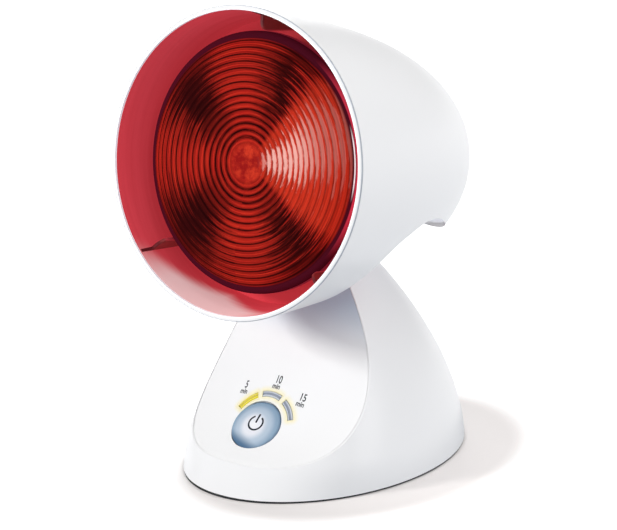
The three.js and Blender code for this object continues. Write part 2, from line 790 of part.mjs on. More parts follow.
function capInsulator() {
  const outer = cap.radius - cap.wall - GAP;
  const well = cap.tipRadius + GAP;
  return revolve([
    [0, CAP_END - cap.insulatorDepth],
    [outer, CAP_END - cap.insulatorDepth],
    [outer, CAP_END],
    [well + cap.insulatorDepth, CAP_END + cap.insulatorDepth],
    [well, CAP_END + cap.insulatorDepth],
    [well, CAP_END],
    [0, CAP_END],
  ], ROUND_SIDES);
}

function capTip() {
  const low = CAP_END + GAP;
  return revolve([
    [0, low],
    [cap.tipRadius, low],
    [cap.tipRadius, low + cap.tipHeight / 2],
    [cap.tipRadius / 2, low + cap.tipHeight],
    [0, low + cap.tipHeight],
  ], PIN_SIDES);
}

function tube(curve, radius, steps, sides) {
  const ring = new THREE.Shape();
  ring.absarc(0, 0, radius, 0, TURN, false);
  const settings = { steps, curveSegments: sides, bevelEnabled: false, extrudePath: curve };
  return new THREE.ExtrudeGeometry(ring, settings);
}

// Place on the filament's open loop, from one end at share 0 to the other at share 1.
function filamentPoint(share, back) {
  const angle = FILAMENT_SWEEP * (share - 0.5);
  return new THREE.Vector3(filament.arcRadius * Math.sin(angle), back, filament.arcRadius * Math.cos(angle));
}

function bulbFilament() {
  const back = bulb.setBack + filament.depth;
  const points = Array.from({ length: FILAMENT_STEPS + 1 }, (_, i) => filamentPoint(i / FILAMENT_STEPS, back));
  return tube(new THREE.CatmullRomCurve3(points), filament.wire, 12, 5);
}

function filamentLead(share, side) {
  const from = filamentPoint(share, bulb.setBack + filament.depth + filament.wire + filament.leadRadius);
  const to = new THREE.Vector3(side * filament.leadSpacing / 2, bulb.setBack + stem.depth - GAP, 0);
  return tube(new THREE.LineCurve3(from, to), filament.leadRadius, 1, 8);
}

// Holder, bracket and arm

function lampHolder() {
  const flangeEnd = FLANGE_START + holder.flangeThickness;
  const body = revolve([
    [0, HOLDER_END - holder.back],
    [HOLDER_BORE, HOLDER_END - holder.back],
    [HOLDER_BORE, HOLDER_START],
    [HOLDER_RADIUS, HOLDER_START],
    [HOLDER_RADIUS, FLANGE_START],
    [FLANGE_RADIUS, FLANGE_START],
    [FLANGE_RADIUS, flangeEnd],
    [HOLDER_RADIUS, flangeEnd],
    [HOLDER_RADIUS, HOLDER_END - holder.chamfer],
    [HOLDER_RADIUS - holder.chamfer, HOLDER_END],
    [0, HOLDER_END],
  ], ROUND_SIDES);
  return solid(body).subtract(union(holderPlaces().map(holeAcross(flangeEnd - GAP))));
}

function holderSleeve() {
  const outer = SLEEVE_RADIUS + holder.sleeveWall;
  const start = HOLDER_START + GAP;
  return revolveRing([
    [SLEEVE_RADIUS, start],
    [outer, start],
    [outer, CAP_END],
    [SLEEVE_RADIUS, CAP_END],
  ], ROUND_SIDES);
}

function holderContact() {
  const front = CAP_END + cap.tipHeight + 2 * GAP;
  const back = HOLDER_END - holder.back - GAP;
  const [across, up] = [holder.contactWidth / 2, holder.contactThickness / 2];
  return box(-across, across, front, back, -up, up);
}

function holderPlaces() {
  const x = (HOLDER_RADIUS + FLANGE_RADIUS) / 2;
  return [[-x, 0], [x, 0]];
}

function bracketPlaces() {
  return BRACKET_ARM_ANGLES.map((angle) => [
    (BRACKET_REACH - bracket.bossSetIn) * Math.cos(angle * DEGREE),
    (BRACKET_REACH - bracket.bossSetIn) * Math.sin(angle * DEGREE),
  ]);
}

function armPlaces() {
  const z = arm.footHeight / 2 - bracket.legDrop;
  return [[-arm.screwX, z], [arm.screwX, z]];
}

// A clearance hole for a screw, from in front of the bracket to a place behind it.
function holeAcross(end) {
  return ([x, z]) => solid(rodY(screw.radius + GAP, BRACKET_START - arm.footLength, end, SCREW_SIDES).translate(x, 0, z));
}

function bracketHoles() {
  return union(bracketPlaces().map(holeAcross(BRACKET_END + screw.length)));
}

function holderBracket() {
  const hub = solid(rodY(FLANGE_RADIUS, BRACKET_START, BRACKET_END, ROUND_SIDES));
  const half = bracket.armWidth / 2;
  const spokes = BRACKET_ARM_ANGLES.map((angle) => (
    solid(box(0, BRACKET_REACH, BRACKET_START, BRACKET_END, -half, half).rotateY(-angle * DEGREE))
  ));
  const leg = box(-arm.footHalfWidth, arm.footHalfWidth, BRACKET_START, BRACKET_END, -bracket.legDrop, 0);
  const centre = solid(rodY(HOLDER_RADIUS + GAP, BRACKET_START - GAP, BRACKET_END + GAP, ROUND_SIDES));
  const holes = [...bracketPlaces(), ...holderPlaces(), ...armPlaces()].map(holeAcross(BRACKET_END + GAP));
  return union([hub, ...spokes, solid(leg)]).subtract(union([centre, ...holes]));
}

// Screws go in from the front of the bracket, and from its back into the arm.
function screwsBack(places, length) {
  return places.map(([x, z]) => {
    const body = geometryOf(screwBody(screw.headRadius, screw.headHeight, screw.radius, length));
    return body.rotateX(-TURN / 4).translate(x, BRACKET_START - GAP, z);
  });
}

function armScrews() {
  return armPlaces().map(([x, z]) => {
    const body = geometryOf(screwBody(ARM_SCREW_HEAD, screw.headHeight, screw.radius, arm.footLength));
    return body.rotateX(TURN / 4).translate(x, BRACKET_END + GAP, z);
  });
}

// The arm is drawn about the pivot, square to the hood's axis.
function tiltArm() {
  const back = FOOT_BACK - hood.pivotBack;
  const low = hood.pivotDrop - bracket.legDrop;
  const end = new THREE.Vector2(back - arm.footLength / 2, low + arm.footHeight / 2);
  const side = new THREE.Vector2(-end.y, end.x).setLength(arm.web / 2);
  const corners = [side, side.clone().negate(), end.clone().sub(side), end.clone().add(side)];
  const web = solid(drawnAcross(new THREE.Shape(corners), 2 * arm.halfWidth, 1));
  const footBlock = box(
    -arm.footHalfWidth,
    arm.footHalfWidth,
    back - arm.footLength,
    back,
    low,
    low + arm.footHeight,
  );
  const half = fork.halfGap - washer.thickness - 2 * GAP;
  const barrel = solid(rodX(knuckle.radius, -half, half, ROUND_SIDES));
  const bore = solid(rodX(pivot.radius + GAP, -fork.halfGap, fork.halfGap, PIN_SIDES));
  const screwHoles = armPlaces().map(([x, z]) => {
    const hole = rodY(screw.radius + GAP, back - arm.footLength - GAP, back + GAP, SCREW_SIDES);
    return solid(hole.translate(x, 0, z + hood.pivotDrop));
  });
  return union([barrel, web, solid(footBlock)]).subtract(union([bore, ...detentNotches(), ...screwHoles]));
}

function detentNotches() {
  return DETENT_STEPS.map((step) => {
    const angle = HOOD_TILT + step * DETENT_PITCH;
    const notch = rodX(detent.notchRadius, -fork.halfGap, fork.halfGap, SCREW_SIDES);
    return solid(notch.translate(0, detent.notchCentre * Math.sin(angle), -detent.notchCentre * Math.cos(angle)));
  });
}

// Leaf spring on the fork's floor: its nose sits in the notch under the pivot.
function detentSpring() {
  const low = FORK_FLOOR + GAP;
  const peak = PIVOT_Z - detent.notchCentre + detent.notchRadius - GAP;
  const slope = detent.noseHalfWidth + detent.strip;
  const flat = detent.reach * SPRING_FLAT_SHARE;
  const crest = [
    [-detent.reach, low + detent.strip],
    [-flat, low + detent.strip],
    [-slope, peak - slope],
    [-detent.noseHalfWidth, peak],
    [detent.noseHalfWidth, peak],
    [slope, peak - slope],
    [flat, low + detent.strip],
    [detent.reach, low + detent.strip],
  ];
  const under = crest.map(([y, z]) => [y, z - detent.strip]).reverse();
  const outline = [...crest, ...under].map(([y, z]) => new THREE.Vector2(PIVOT_Y + y, z));
  return drawnAcross(new THREE.Shape(outline), detent.width, 1);
}

function frictionWasher(from) {
  const disc = solid(rodX(washer.radius, from, from + washer.thickness, ROUND_SIDES));
  return disc.subtract(solid(rodX(pivot.radius + GAP, from - GAP, from + washer.thickness + GAP, PIN_SIDES)));
}

function pivotBolt() {
  const seat = -CHEEK_OUTSIDE - GAP;
  const front = seat - pivot.headHeight;
  const head = solid(rodX(pivot.headRadius, front, seat, ROUND_SIDES));
  const shank = solid(rodX(pivot.radius, seat - GAP, fork.halfGap + pivot.insertLength, PIN_SIDES));
  return head.add(shank).subtract(solid(rodX(pivot.socketRadius, front - GAP, front + pivot.socketDepth, 6)));
}

function pivotInsert() {
  const end = fork.halfGap + pivot.insertLength - GAP;
  const ring = solid(rodX(pivot.insertRadius, fork.halfGap, end, ROUND_SIDES));
  return ring.subtract(solid(rodX(pivot.radius + GAP, fork.halfGap - GAP, end + GAP, PIN_SIDES)));
}

// Assembly

function buildBase() {
  const group = new THREE.Group();
  const screws = BOSS_PLACES.map(([x, y]) => (
    geometryOf(screwBody(screw.headRadius, screw.headHeight, screw.radius, screw.length)).translate(x, y, screwSeat())
  ));
  const feet = FOOT_PLACES.map(([x, y]) => rodZ(foot.radius, 0, foot.thickness, PIN_SIDES).translate(x, y, 0));
  group.add(
    piece('base_shell', baseShell(), materials.shell),
    piece('front_panel', frontPanel(), materials.panel),
    piece('base_plate', basePlate(), materials.grey),
    ...pieces('base_screw', screws, materials.steel),
    ...pieces('rubber_foot', feet, materials.rubber),
    piece('cord_inlet_ring', inletRing(), materials.grey),
    piece('terminal_block', terminalBlock(), materials.grey),
    buildControls(),
    buildPivot(),
  );
  return group;
}

function buildControls() {
  const group = new THREE.Group();
  group.applyMatrix4(CONTROL);
  ['5_min', '10_min', '15_min'].forEach((label, i) => {
    const material = i === 0 ? materials.lit : materials.unlit;
    group.add(piece(`light_window_${label}`, lightWindow(BAR_ANGLES[i]), material));
    group.add(piece(`led_${label}`, ledBody(BAR_ANGLES[i]), material));
  });
  group.add(
    piece('power_button', powerButton(), materials.button),
    piece('tact_switch', tactSwitch(), materials.black),
    piece('timer_board', timerBoard(), materials.board),
    ...pieces('board_screw', boardScrews(), materials.steel),
    piece('relay', behindBoard(relay), materials.black),
    piece('supply_capacitor', behindBoard(capacitor), materials.grey),
  );
  return group;
}

function buildPivot() {
  const axle = new THREE.Group();
  axle.position.set(0, PIVOT_Y, PIVOT_Z);
  const left = GAP - fork.halfGap;
  axle.add(
    piece('pivot_bolt', pivotBolt(), materials.steel),
    piece('pivot_insert', pivotInsert(), materials.brass),
    ...pieces('friction_washer', [frictionWasher(left), frictionWasher(-left - washer.thickness)], materials.grey),
  );
  const group = new THREE.Group();
  group.add(axle, piece('detent_spring', detentSpring(), materials.steel));
  return group;
}

function buildHead() {
  const hoodGroup = new THREE.Group();
  hoodGroup.position.set(0, -hood.pivotBack, hood.pivotDrop);
  const flangeScrewLength = bracket.thickness + holder.flangeThickness;
  const fins = FIN_ANGLES.map((angle) => bulbFin().rotateY(angle * DEGREE));
  hoodGroup.add(
    piece('hood_shell', hoodShell(), materials.shell),
    piece('hood_liner', hoodLiner(), materials.red),
    ...pieces('bulb_fin', fins, materials.red),
    piece('holder_bracket', holderBracket(), materials.steel),
    ...pieces('bracket_screw', screwsBack(bracketPlaces(), screw.length), materials.steel),
    ...pieces('holder_screw', screwsBack(holderPlaces(), flangeScrewLength), materials.steel),
    ...pieces('arm_screw', armScrews(), materials.steel),
    piece('lamp_holder', lampHolder(), materials.ceramic),
    piece('holder_sleeve', holderSleeve(), materials.brass),
    piece('holder_contact', holderContact(), materials.brass),
    buildBulb(),
  );
  const head = new THREE.Group();
  head.position.set(0, PIVOT_Y, PIVOT_Z);
  head.rotation.x = -HOOD_TILT;
  head.add(piece('tilt_arm', tiltArm(), materials.black), hoodGroup);
  return head;
}

function buildBulb() {
  const group = new THREE.Group();
  const leads = [filamentLead(0, -1), filamentLead(1, 1)];
  group.add(
    piece('bulb_lens', bulbLens(), materials.lens),
    piece('bulb_reflector', bulbReflector(), materials.glass),
    piece('bulb_stem', bulbStem(), materials.glass),
    piece('bulb_cap', bulbCap(), materials.brass),
    piece('cap_insulator', capInsulator(), materials.black),
    piece('cap_tip', capTip(), materials.brass),
    piece('filament', bulbFilament(), materials.steel),
    ...pieces('filament_lead', leads, materials.steel),
  );
  return group;
}

// The origin lies on the floor under the middle of the lamp's box.
function centred(group) {
  group.updateMatrixWorld(true);
  const bounds = new THREE.Box3().setFromObject(group, true);
  group.position.y = -(bounds.min.y + bounds.max.y) / 2;
  return group;
}

const lamp = new THREE.Group();
lamp.add(buildBase(), buildHead());
centred(lamp);

export default lamp;
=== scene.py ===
import math

import bmesh
import bpy
from mathutils import Matrix, Vector


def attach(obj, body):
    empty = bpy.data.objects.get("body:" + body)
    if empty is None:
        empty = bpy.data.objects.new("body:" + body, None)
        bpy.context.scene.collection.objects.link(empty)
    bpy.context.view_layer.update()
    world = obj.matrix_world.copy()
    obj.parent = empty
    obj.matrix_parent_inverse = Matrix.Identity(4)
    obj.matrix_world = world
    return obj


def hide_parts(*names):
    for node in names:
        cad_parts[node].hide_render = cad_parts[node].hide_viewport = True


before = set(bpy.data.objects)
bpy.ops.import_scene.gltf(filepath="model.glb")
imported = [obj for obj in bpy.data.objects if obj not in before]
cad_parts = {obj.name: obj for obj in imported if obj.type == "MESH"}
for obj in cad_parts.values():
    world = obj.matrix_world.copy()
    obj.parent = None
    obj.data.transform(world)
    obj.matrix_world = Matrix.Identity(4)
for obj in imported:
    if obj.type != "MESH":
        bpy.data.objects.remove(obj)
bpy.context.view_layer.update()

MM = 0.001
TURN = 2 * math.pi
QUARTER = math.pi / 2
GAP = 0.3
TOUCHING = 0.001
OVERRUN = 40.0
SMOOTH_ANGLE = math.radians(32)

# Sides of round forms, from screw bores to the bulb
BORE_SIDES = 32
HOLE_SIDES = 48
RING_SIDES = 64
ROUND_SIDES = 96
LENS_SIDES = 144

# Base: a bell whose plan is an ellipse on the floor, blunter in front above its lip.
BASE = {
    "half_width": 58.1,
    "front_reach": 81.5,
    "rear_reach": 81.5,
    "waist_height": 91.3,
    "waist_half_width": 25.7,
    "waist_front": 33.5,
    "waist_rear": 30.2,
    "waist_shift": 5.8,
    "top_height": 102.0,
    "crown_height": 7.0,
    "lip_height": 14.0,
    "wall": 2.2,
    "floor_gap": 1.0,
}
# A dark strip under the base's wall that stands in for its contact shadow on the floor
CONTACT_SHADOW_STRIP = {"low": 0.1, "play": 0.05, "set_in": 0.5}
BASE_SIDE_CURVE = 1.68
BASE_FRONT_CURVE = 0.83
BASE_FRONT_SQUARENESS = 2.3
BASE_SIDES = 160
BASE_LEVELS = 34
CROWN_LEVELS = 7

# Front panel: a hollow ellipse seen from the side, crowned from side to side.
PANEL = {
    "neck_front": 13.8,
    "reach": 87.7,
    "drop": 119.7,
    "floor": 6.75,
    "crown_radius": 84.7,
    "thickness": 1.2,
    "backing": 2.0,
    "rim": 0.45,
    "seam": 0.2,
}
PANEL_STEPS = 44
PANEL_CROWN_STEPS = 48
PANEL_RISE_ROUNDS = 12

# Controls, square to the panel in the middle of the button
CONTROL_ANGLE = math.radians(34.2)
BUTTON = {
    "x": -0.8,
    "up": -0.3,
    "radius": 12.6,
    "play": 0.4,
    "dome": 2.2,
    "wall": 1.5,
    "skirt": 5.6,
    "flange": 1.2,
    "flange_thickness": 1.0,
    "stem_radius": 2.0,
    "mark_x": 0.8,
    "mark_up": 0.3,
}
BUTTON_STEPS = 22
BUTTON_FALL_POWER = 2.4
BUTTON_CROWN_POWER = 0.66
CONTROL_CUT = 10.0
BAR = {
    "inner": 15.3,
    "outer": 17.7,
    "depth": 4.2,
    "proud": 0.25,
    "edge": 0.25,
    "frame": 0.6,
    "groove": 0.35,
}
BAR_MIDDLE = (BAR["inner"] + BAR["outer"]) / 2
BAR_HALF = (BAR["outer"] - BAR["inner"]) / 2
BAR_HALF_ANGLE = math.radians(18)
BAR_TUCK_SHARE = 0.07
BAR_GROOVE_FADE_SHARE = 1.6
BAR_END_SHARES = [0, 0.012, 0.035, 0.06, 0.09]
BAR_BODY_SHARE = 0.12
BAR_ANGLES = [math.radians(angle) for angle in (-46.5, 0, 46.5)]
BAR_NAMES = ["5_min", "10_min", "15_min"]
BAR_FINISHES = ["lit", "unlit", "unlit"]
BAR_STEPS = 20

# Neck slot for the tilting arm, and the hole for the head of its bolt
FORK = {"half_gap": 9.2, "cheek": 4.0, "front": -2.7, "floor": 85.5, "floor_thickness": 2.4}
PIVOT = {"y": 6.0, "z": 96.0, "head_hole": 5.9, "bore": 3.3}
INLET = {"height": 13.0, "neck_radius": 5.0, "flange_radius": 7.0, "flange": 1.5, "bore": 3.4}

# Hood and bulb, drawn about the hood's axis: back from the rim
HOOD = {
    "radius": 72.4,
    "length": 156.95,
    "wall": 2.2,
    "lip_round": 0.7,
    "liner_start": 1.2,
    "liner_length": 34.0,
    "liner_thickness": 0.6,
    "liner_flange": 0.8,
    "liner_bore": 54.9,
    "line_width": 0.4,
    "line_depth": 0.7,
    "opening_half_width": 59.0,
    "opening_front": 38.0,
    "opening_widest": 66.0,
    "opening_rear": 142.5,
    "axis_y": -69.1,
    "axis_z": 158.7,
}
HOOD_TILT = math.radians(10.8)
HOOD_TAPER_SHARE = 0.245
HOOD_ROUNDING = 3.48
HOOD_FULLNESS = 2.18
HOOD_TIP_SHARE = 0.999
OPENING_SQUARENESS = 3.5
OPENING_POINT_POWER = 1.14
OPENING_SIDES = 120
HOOD_SIDES = 192
HOOD_STEPS = 44
LIP_STEPS = 4
GROOVE_STEPS = 6
LINER_STEPS = 10
BOSS = {"radius": 4.0, "reach": 35.5, "front": 122.5, "back": 150.0}
BOSS_ANGLES = [math.radians(angle) for angle in (20, 90, 160)]
LENS = {
    "front": 9.8,
    "swell": 1.7,
    "rim_radius": 57.5,
    "radius": 60.5,
    "rim_back": 14.3,
    "bead_back": 17.3,
    "glass": 2.8,
    "pitch": 3.15,
    "first_ring": 15.2,
    "groove": 0.42,
    "disc": 10.0,
    "disc_pitch": 1.5,
    "disc_groove": 0.22,
    "plain_edge": 1.0,
}
LENS_STEPS = 150
LENS_BEAD_STEPS = 6
LENS_BACK_STEPS = 13
LENS_BEAD_SHARE = 0.9
LENS_SWELL_START_SHARE = 0.3
LENS_SWELL_SPAN_SHARE = 0.45
LENS_SHOULDER_POWER = 9
FIN = {
    "start": 8.6,
    "round": 5.0,
    "crest": 61.1,
    "end": 34.4,
    "ridge_start": 1.9,
    "ridge": 0.9,
    "thickness": 1.6,
    "edge": 0.25,
    "play": 0.05,
}
FIN_STEPS = 12
FIN_RIDGE_START_SHARE = 0.35
FIN_ANGLES = [math.radians(angle) for angle in (0, 135, 225)]
# Sectors of painted shade on the lens, in degrees clockwise from the top: middle, core, and the fades on
# both sides
SHADED_SECTORS = [(25, 3, 28, 12), (133, 3, 14, 28), (219, 8, 32, 32), (305, 6, 30, 30)]
REFLECTOR = {"start": 17.6, "neck_radius": 19.0, "end": 112.3, "glass": 2.8}
REFLECTOR_POINTS = [(60.5, 20.3), (44.6, 54.3), (24.0, 86.3), (19.0, 106.3)]
REFLECTOR_STEPS = 12

# The whole part sits centred over the origin, so its layout moves forward a little.
LAYOUT_SHIFT = -1.698


# Frames


def panel_point(angle, depth):
    """The panel's curve in the mirror plane, moved back into the base by a depth."""
    y = -PANEL["neck_front"] - PANEL["reach"] + (PANEL["reach"] + depth) * math.sin(angle)
    z = PANEL["floor"] + PANEL["drop"] - (PANEL["drop"] + depth) * math.cos(angle)
    return y, z


def control_turn():
    rise = PANEL["drop"] * math.sin(CONTROL_ANGLE)
    run = PANEL["reach"] * math.cos(CONTROL_ANGLE)
    return math.atan2(rise, run)


LAYOUT = Matrix.Scale(MM, 4) @ Matrix.Translation((0, LAYOUT_SHIFT, 0))
CONTROL = Matrix.Translation((0, *panel_point(CONTROL_ANGLE, 0))) @ Matrix.Rotation(control_turn(), 4, "X")
BUTTON_FRAME = CONTROL @ Matrix.Translation((BUTTON["x"], BUTTON["up"], 0))
HEAD = Matrix.Translation((0, HOOD["axis_y"], HOOD["axis_z"])) @ Matrix.Rotation(-HOOD_TILT, 4, "X")


# Working with Blender's tools


def clear_selection():
    for obj in bpy.context.selected_objects:
        obj.select_set(False)


def work_on(obj):
    clear_selection()
    obj.select_set(True)
    bpy.context.view_layer.objects.active = obj


def moved(obj, matrix):
    obj.data.transform(matrix)
    return obj


def settled(obj, name):
    """Brings a finished form to its place in metres, with smooth faces and sharp edges."""
    moved(obj, LAYOUT)
    obj.name = name
    obj.data.name = name
    work_on(obj)
    bpy.ops.object.shade_smooth_by_angle(angle=SMOOTH_ANGLE)
    return obj


def applied(obj, kind, **settings):
    work_on(obj)
    modifier = obj.modifiers.new(kind.title(), kind)
    for key, value in settings.items():
        setattr(modifier, key, value)
    bpy.ops.object.modifier_apply(modifier=modifier.name)
    return obj


def combined(obj, tool, operation="DIFFERENCE", keep=False):
    """Cuts, joins or keeps what is common, and removes the tool."""
    applied(obj, "BOOLEAN", operation=operation, solver="EXACT", object=tool)
    if not keep:
        bpy.data.objects.remove(tool)
    return obj


def number_columns(obj):
    """Marks each corner of the first ring, so that what is drawn from it keeps its column."""
    body = bmesh.from_edit_mesh(obj.data)
    column = body.verts.layers.int.new("column")
    for i, vertex in enumerate(body.verts):
        vertex[column] = i
    bmesh.update_edit_mesh(obj.data)


def place_ring(obj, ring):
    """Brings the selected corners to the places that a ring gives their columns."""
    body = bmesh.from_edit_mesh(obj.data)
    column = body.verts.layers.int["column"]
    for vertex in body.verts:
        if vertex.select:
            vertex.co = ring[vertex[column]]
    bmesh.update_edit_mesh(obj.data)


def ring_drawn(rings, ends):
    """A body drawn out ring by ring from a circle. Its ends are flat, pointed or joined to each other."""
    clear_selection()
    fill = "NGON" if ends == "flat" else "NOTHING"
    bpy.ops.mesh.primitive_circle_add(vertices=len(rings[0]), radius=1, fill_type=fill)
    obj = bpy.context.object
    bpy.ops.object.mode_set(mode="EDIT")
    number_columns(obj)
    place_ring(obj, rings[0])
    for ring in rings[1:]:
        bpy.ops.mesh.extrude_region_move()
        place_ring(obj, ring)
    if ends == "pointed":
        bpy.ops.mesh.merge(type="CENTER")
        pointed_start(obj, rings[0])
    if ends == "joined":
        bpy.ops.mesh.select_all(action="SELECT")
        bpy.ops.mesh.remove_doubles(threshold=TOUCHING)
    bpy.ops.mesh.select_all(action="SELECT")
    bpy.ops.mesh.normals_make_consistent(inside=False)
    bpy.ops.object.mode_set(mode="OBJECT")
    obj.data.attributes.remove(obj.data.attributes["column"])
    return obj


def pointed_start(obj, ring):
    """Draws the first ring together in its own middle."""
    bpy.ops.mesh.select_all(action="DESELECT")
    places = [Vector(point) for point in ring]
    body = bmesh.from_edit_mesh(obj.data)
    for vertex in body.verts:
        vertex.select = any((vertex.co - place).length < TOUCHING for place in places)
    body.select_flush(True)
    bmesh.update_edit_mesh(obj.data)
    bpy.ops.mesh.merge(type="CENTER")


def turned(profile, sides, ends, axis="Y"):
    """A form of revolution from pairs of radius and height along its axis."""
    rings = []
    for radius, height in profile:
        ring = []
        for i in range(sides):
            angle = TURN * i / sides
            across, up = radius * math.cos(angle), radius * math.sin(angle)
            ring.append((across, height, up) if axis == "Y" else (across, up, height))
        rings.append(ring)
    if ends == "joined":
        rings.append(rings[0])
    return ring_drawn(rings, ends)


def block(x0, x1, y0, y1, z0, z1):
    clear_selection()
    bpy.ops.mesh.primitive_cube_add(size=1, location=((x0 + x1) / 2, (y0 + y1) / 2, (z0 + z1) / 2))
    obj = bpy.context.object
    obj.scale = (x1 - x0, y1 - y0, z1 - z0)
    bpy.ops.object.transform_apply(location=True, rotation=True, scale=True)
    return obj


def rod(radius, low, high, sides, matrix):
    """A plain cutter or boss that stands on a frame's Z axis."""
    clear_selection()
    bpy.ops.mesh.primitive_cylinder_add(
        vertices=sides, radius=radius, depth=high - low, location=(0, 0, (low + high) / 2)
    )
    obj = bpy.context.object
    bpy.ops.object.transform_apply(location=True, rotation=True, scale=True)
    return moved(obj, matrix)


# Base form


def narrowed(ground, waist, height, curve):
    return ground - (ground - waist) * (max(height, 0) / BASE["waist_height"]) ** curve


def crown_inset(height, inset):
    start = BASE["top_height"] - inset - BASE["crown_height"]
    rise = min(max((height - start) / BASE["crown_height"], 0), 1)
    return BASE["crown_height"] * (1 - math.sqrt(1 - rise * rise))


def side_power(value, power):
    return math.copysign(abs(value) ** power, value)


def bell_ring(height, inset):
    shrink = inset + crown_inset(height, inset)
    middle = -BASE["waist_shift"] * (height / BASE["waist_height"]) ** 2
    half = narrowed(BASE["half_width"], BASE["waist_half_width"], height, BASE_SIDE_CURVE) - shrink
    rear = narrowed(BASE["rear_reach"], BASE["waist_rear"], height, BASE_SIDE_CURVE) - shrink - middle
    front = narrowed(BASE["front_reach"], BASE["waist_front"], height, BASE_FRONT_CURVE) - shrink + middle
    squareness = 2 + (BASE_FRONT_SQUARENESS - 2) * min(max(height, 0) / BASE["lip_height"], 1)
    ring = []
    for i in range(BASE_SIDES):
        angle = TURN * i / BASE_SIDES
        in_front = math.sin(angle) < 0
        power = 2 / squareness if in_front else 1
        reach = front if in_front else rear
        x = half * side_power(math.cos(angle), power)
        ring.append((x, middle + reach * side_power(math.sin(angle), power), height))
    return ring


def bell(inset, low):
    shoulder = BASE["top_height"] - inset - BASE["crown_height"]
    heights = [low + (shoulder - low) * i / BASE_LEVELS for i in range(BASE_LEVELS)]
    for i in range(CROWN_LEVELS + 1):
        heights.append(shoulder + BASE["crown_height"] * math.sin(QUARTER * i / CROWN_LEVELS))
    return ring_drawn([bell_ring(height, inset) for height in heights], "flat")


def panel_air(depth):
    """The air in front of the panel's face, moved back into the base by a depth."""
    arc = [panel_point(QUARTER * i / PANEL_STEPS, depth) for i in range(PANEL_STEPS + 1)]
    front = -BASE["front_reach"] - OVERRUN
    outline = [*arc, (front, arc[-1][1]), (front, arc[0][1])]
    half = BASE["half_width"] + PANEL["rim"]
    rings = []
    for i in range(PANEL_CROWN_STEPS + 1):
        x = half * (2 * i / PANEL_CROWN_STEPS - 1)
        bow = x * x / (2 * PANEL["crown_radius"])
        rings.append([(x, y + bow, z) for y, z in outline])
    return ring_drawn(rings, "flat")


def panel_rise(x, up):
    """How far the panel's face stands out of the control frame's plane at a place."""
    out = 0.0
    for _ in range(PANEL_RISE_ROUNDS):
        place = CONTROL @ Vector((x, up, out))
        share = (PANEL["floor"] + PANEL["drop"] - place.z) / PANEL["drop"]
        face = -PANEL["neck_front"] - PANEL["reach"] + PANEL["reach"] * math.sqrt(1 - share * share)
        face += x * x / (2 * PANEL["crown_radius"])
        out += (place.y - face) * math.sin(control_turn())
    return out


def bar_outline(middle, margin):
    inner, outer = BAR["inner"] - margin, BAR["outer"] + margin
    half = BAR_HALF_ANGLE + margin / BAR["inner"]
    angles = [middle + half * (2 * i / BAR_STEPS - 1) for i in range(BAR_STEPS + 1)]
    outline = [(outer * math.sin(angle), outer * math.cos(angle)) for angle in angles]
    return outline + [(inner * math.sin(angle), inner * math.cos(angle)) for angle in reversed(angles)]


def bar_cutter(middle):
    outline = bar_outline(middle, GAP)
    rings = [[(x, y, height) for x, y in outline] for height in (-CONTROL_CUT, CONTROL_CUT)]
    return moved(ring_drawn(rings, "flat"), CONTROL)


def with_control_holes(obj):
    hole = rod(BUTTON["radius"] + BUTTON["play"], -CONTROL_CUT, CONTROL_CUT, ROUND_SIDES, BUTTON_FRAME)
    combined(obj, hole)
    for angle in BAR_ANGLES:
        combined(obj, bar_cutter(angle))
    return obj


def base_cavity():
    """The hollow of the base, round the neck's solid block."""
    inset = BASE["wall"]
    hollow = combined(bell(inset, BASE["floor_gap"] - GAP), panel_air(back_depth()))
    outside = FORK["half_gap"] + FORK["cheek"]
    low = FORK["floor"] - FORK["floor_thickness"]
    neck = block(-outside, outside, -BASE["rear_reach"], BASE["rear_reach"], low, BASE["top_height"])
    return combined(hollow, neck)


def back_depth():
    return PANEL["thickness"] + GAP + PANEL["backing"]


def base_housing():
    housing = combined(bell(0, BASE["floor_gap"]), panel_air(0))
    combined(housing, base_cavity())
    rebate = bell(PANEL["rim"], BASE["floor_gap"] - GAP)
    combined(rebate, panel_air(PANEL["thickness"] + GAP), "INTERSECT")
    combined(housing, rebate)
    slot = block(
        -FORK["half_gap"],
        FORK["half_gap"],
        FORK["front"],
        BASE["rear_reach"],
        FORK["floor"],
        BASE["top_height"] + OVERRUN,
    )
    combined(housing, slot)
    across = Matrix.Translation((0, PIVOT["y"], PIVOT["z"])) @ Matrix.Rotation(-QUARTER, 4, "Y")
    outside = FORK["half_gap"] + FORK["cheek"]
    combined(housing, rod(PIVOT["head_hole"], outside, BASE["half_width"], HOLE_SIDES, across))
    combined(housing, rod(PIVOT["bore"], -outside - GAP, outside + GAP, BORE_SIDES, across))
    back = Matrix.Translation((0, 0, INLET["height"])) @ Matrix.Rotation(-QUARTER, 4, "X")
    combined(housing, rod(INLET["neck_radius"] + GAP, 0, BASE["rear_reach"] + OVERRUN, HOLE_SIDES, back))
    with_control_holes(housing)
    return settled(housing, "base_housing")


def contact_shadow_strip():
    """Dark strip under the wall's edge, all the way round: a dark thing put there as painted contact shadow.
    """
    low, high = CONTACT_SHADOW_STRIP["low"], BASE["floor_gap"] - CONTACT_SHADOW_STRIP["play"]
    outer, inner = CONTACT_SHADOW_STRIP["set_in"], BASE["wall"]
    rings = [bell_ring(low, outer), bell_ring(high, outer), bell_ring(high, inner), bell_ring(low, inner)]
    return settled(ring_drawn([*rings, rings[0]], "joined"), "contact_shadow_strip")


def scooped_panel():
    sheet = combined(bell(PANEL["rim"] + PANEL["seam"], 0), panel_air(PANEL["thickness"]), "INTERSECT")
    combined(sheet, panel_air(0))
    with_control_holes(sheet)
    return settled(sheet, "scooped_panel")


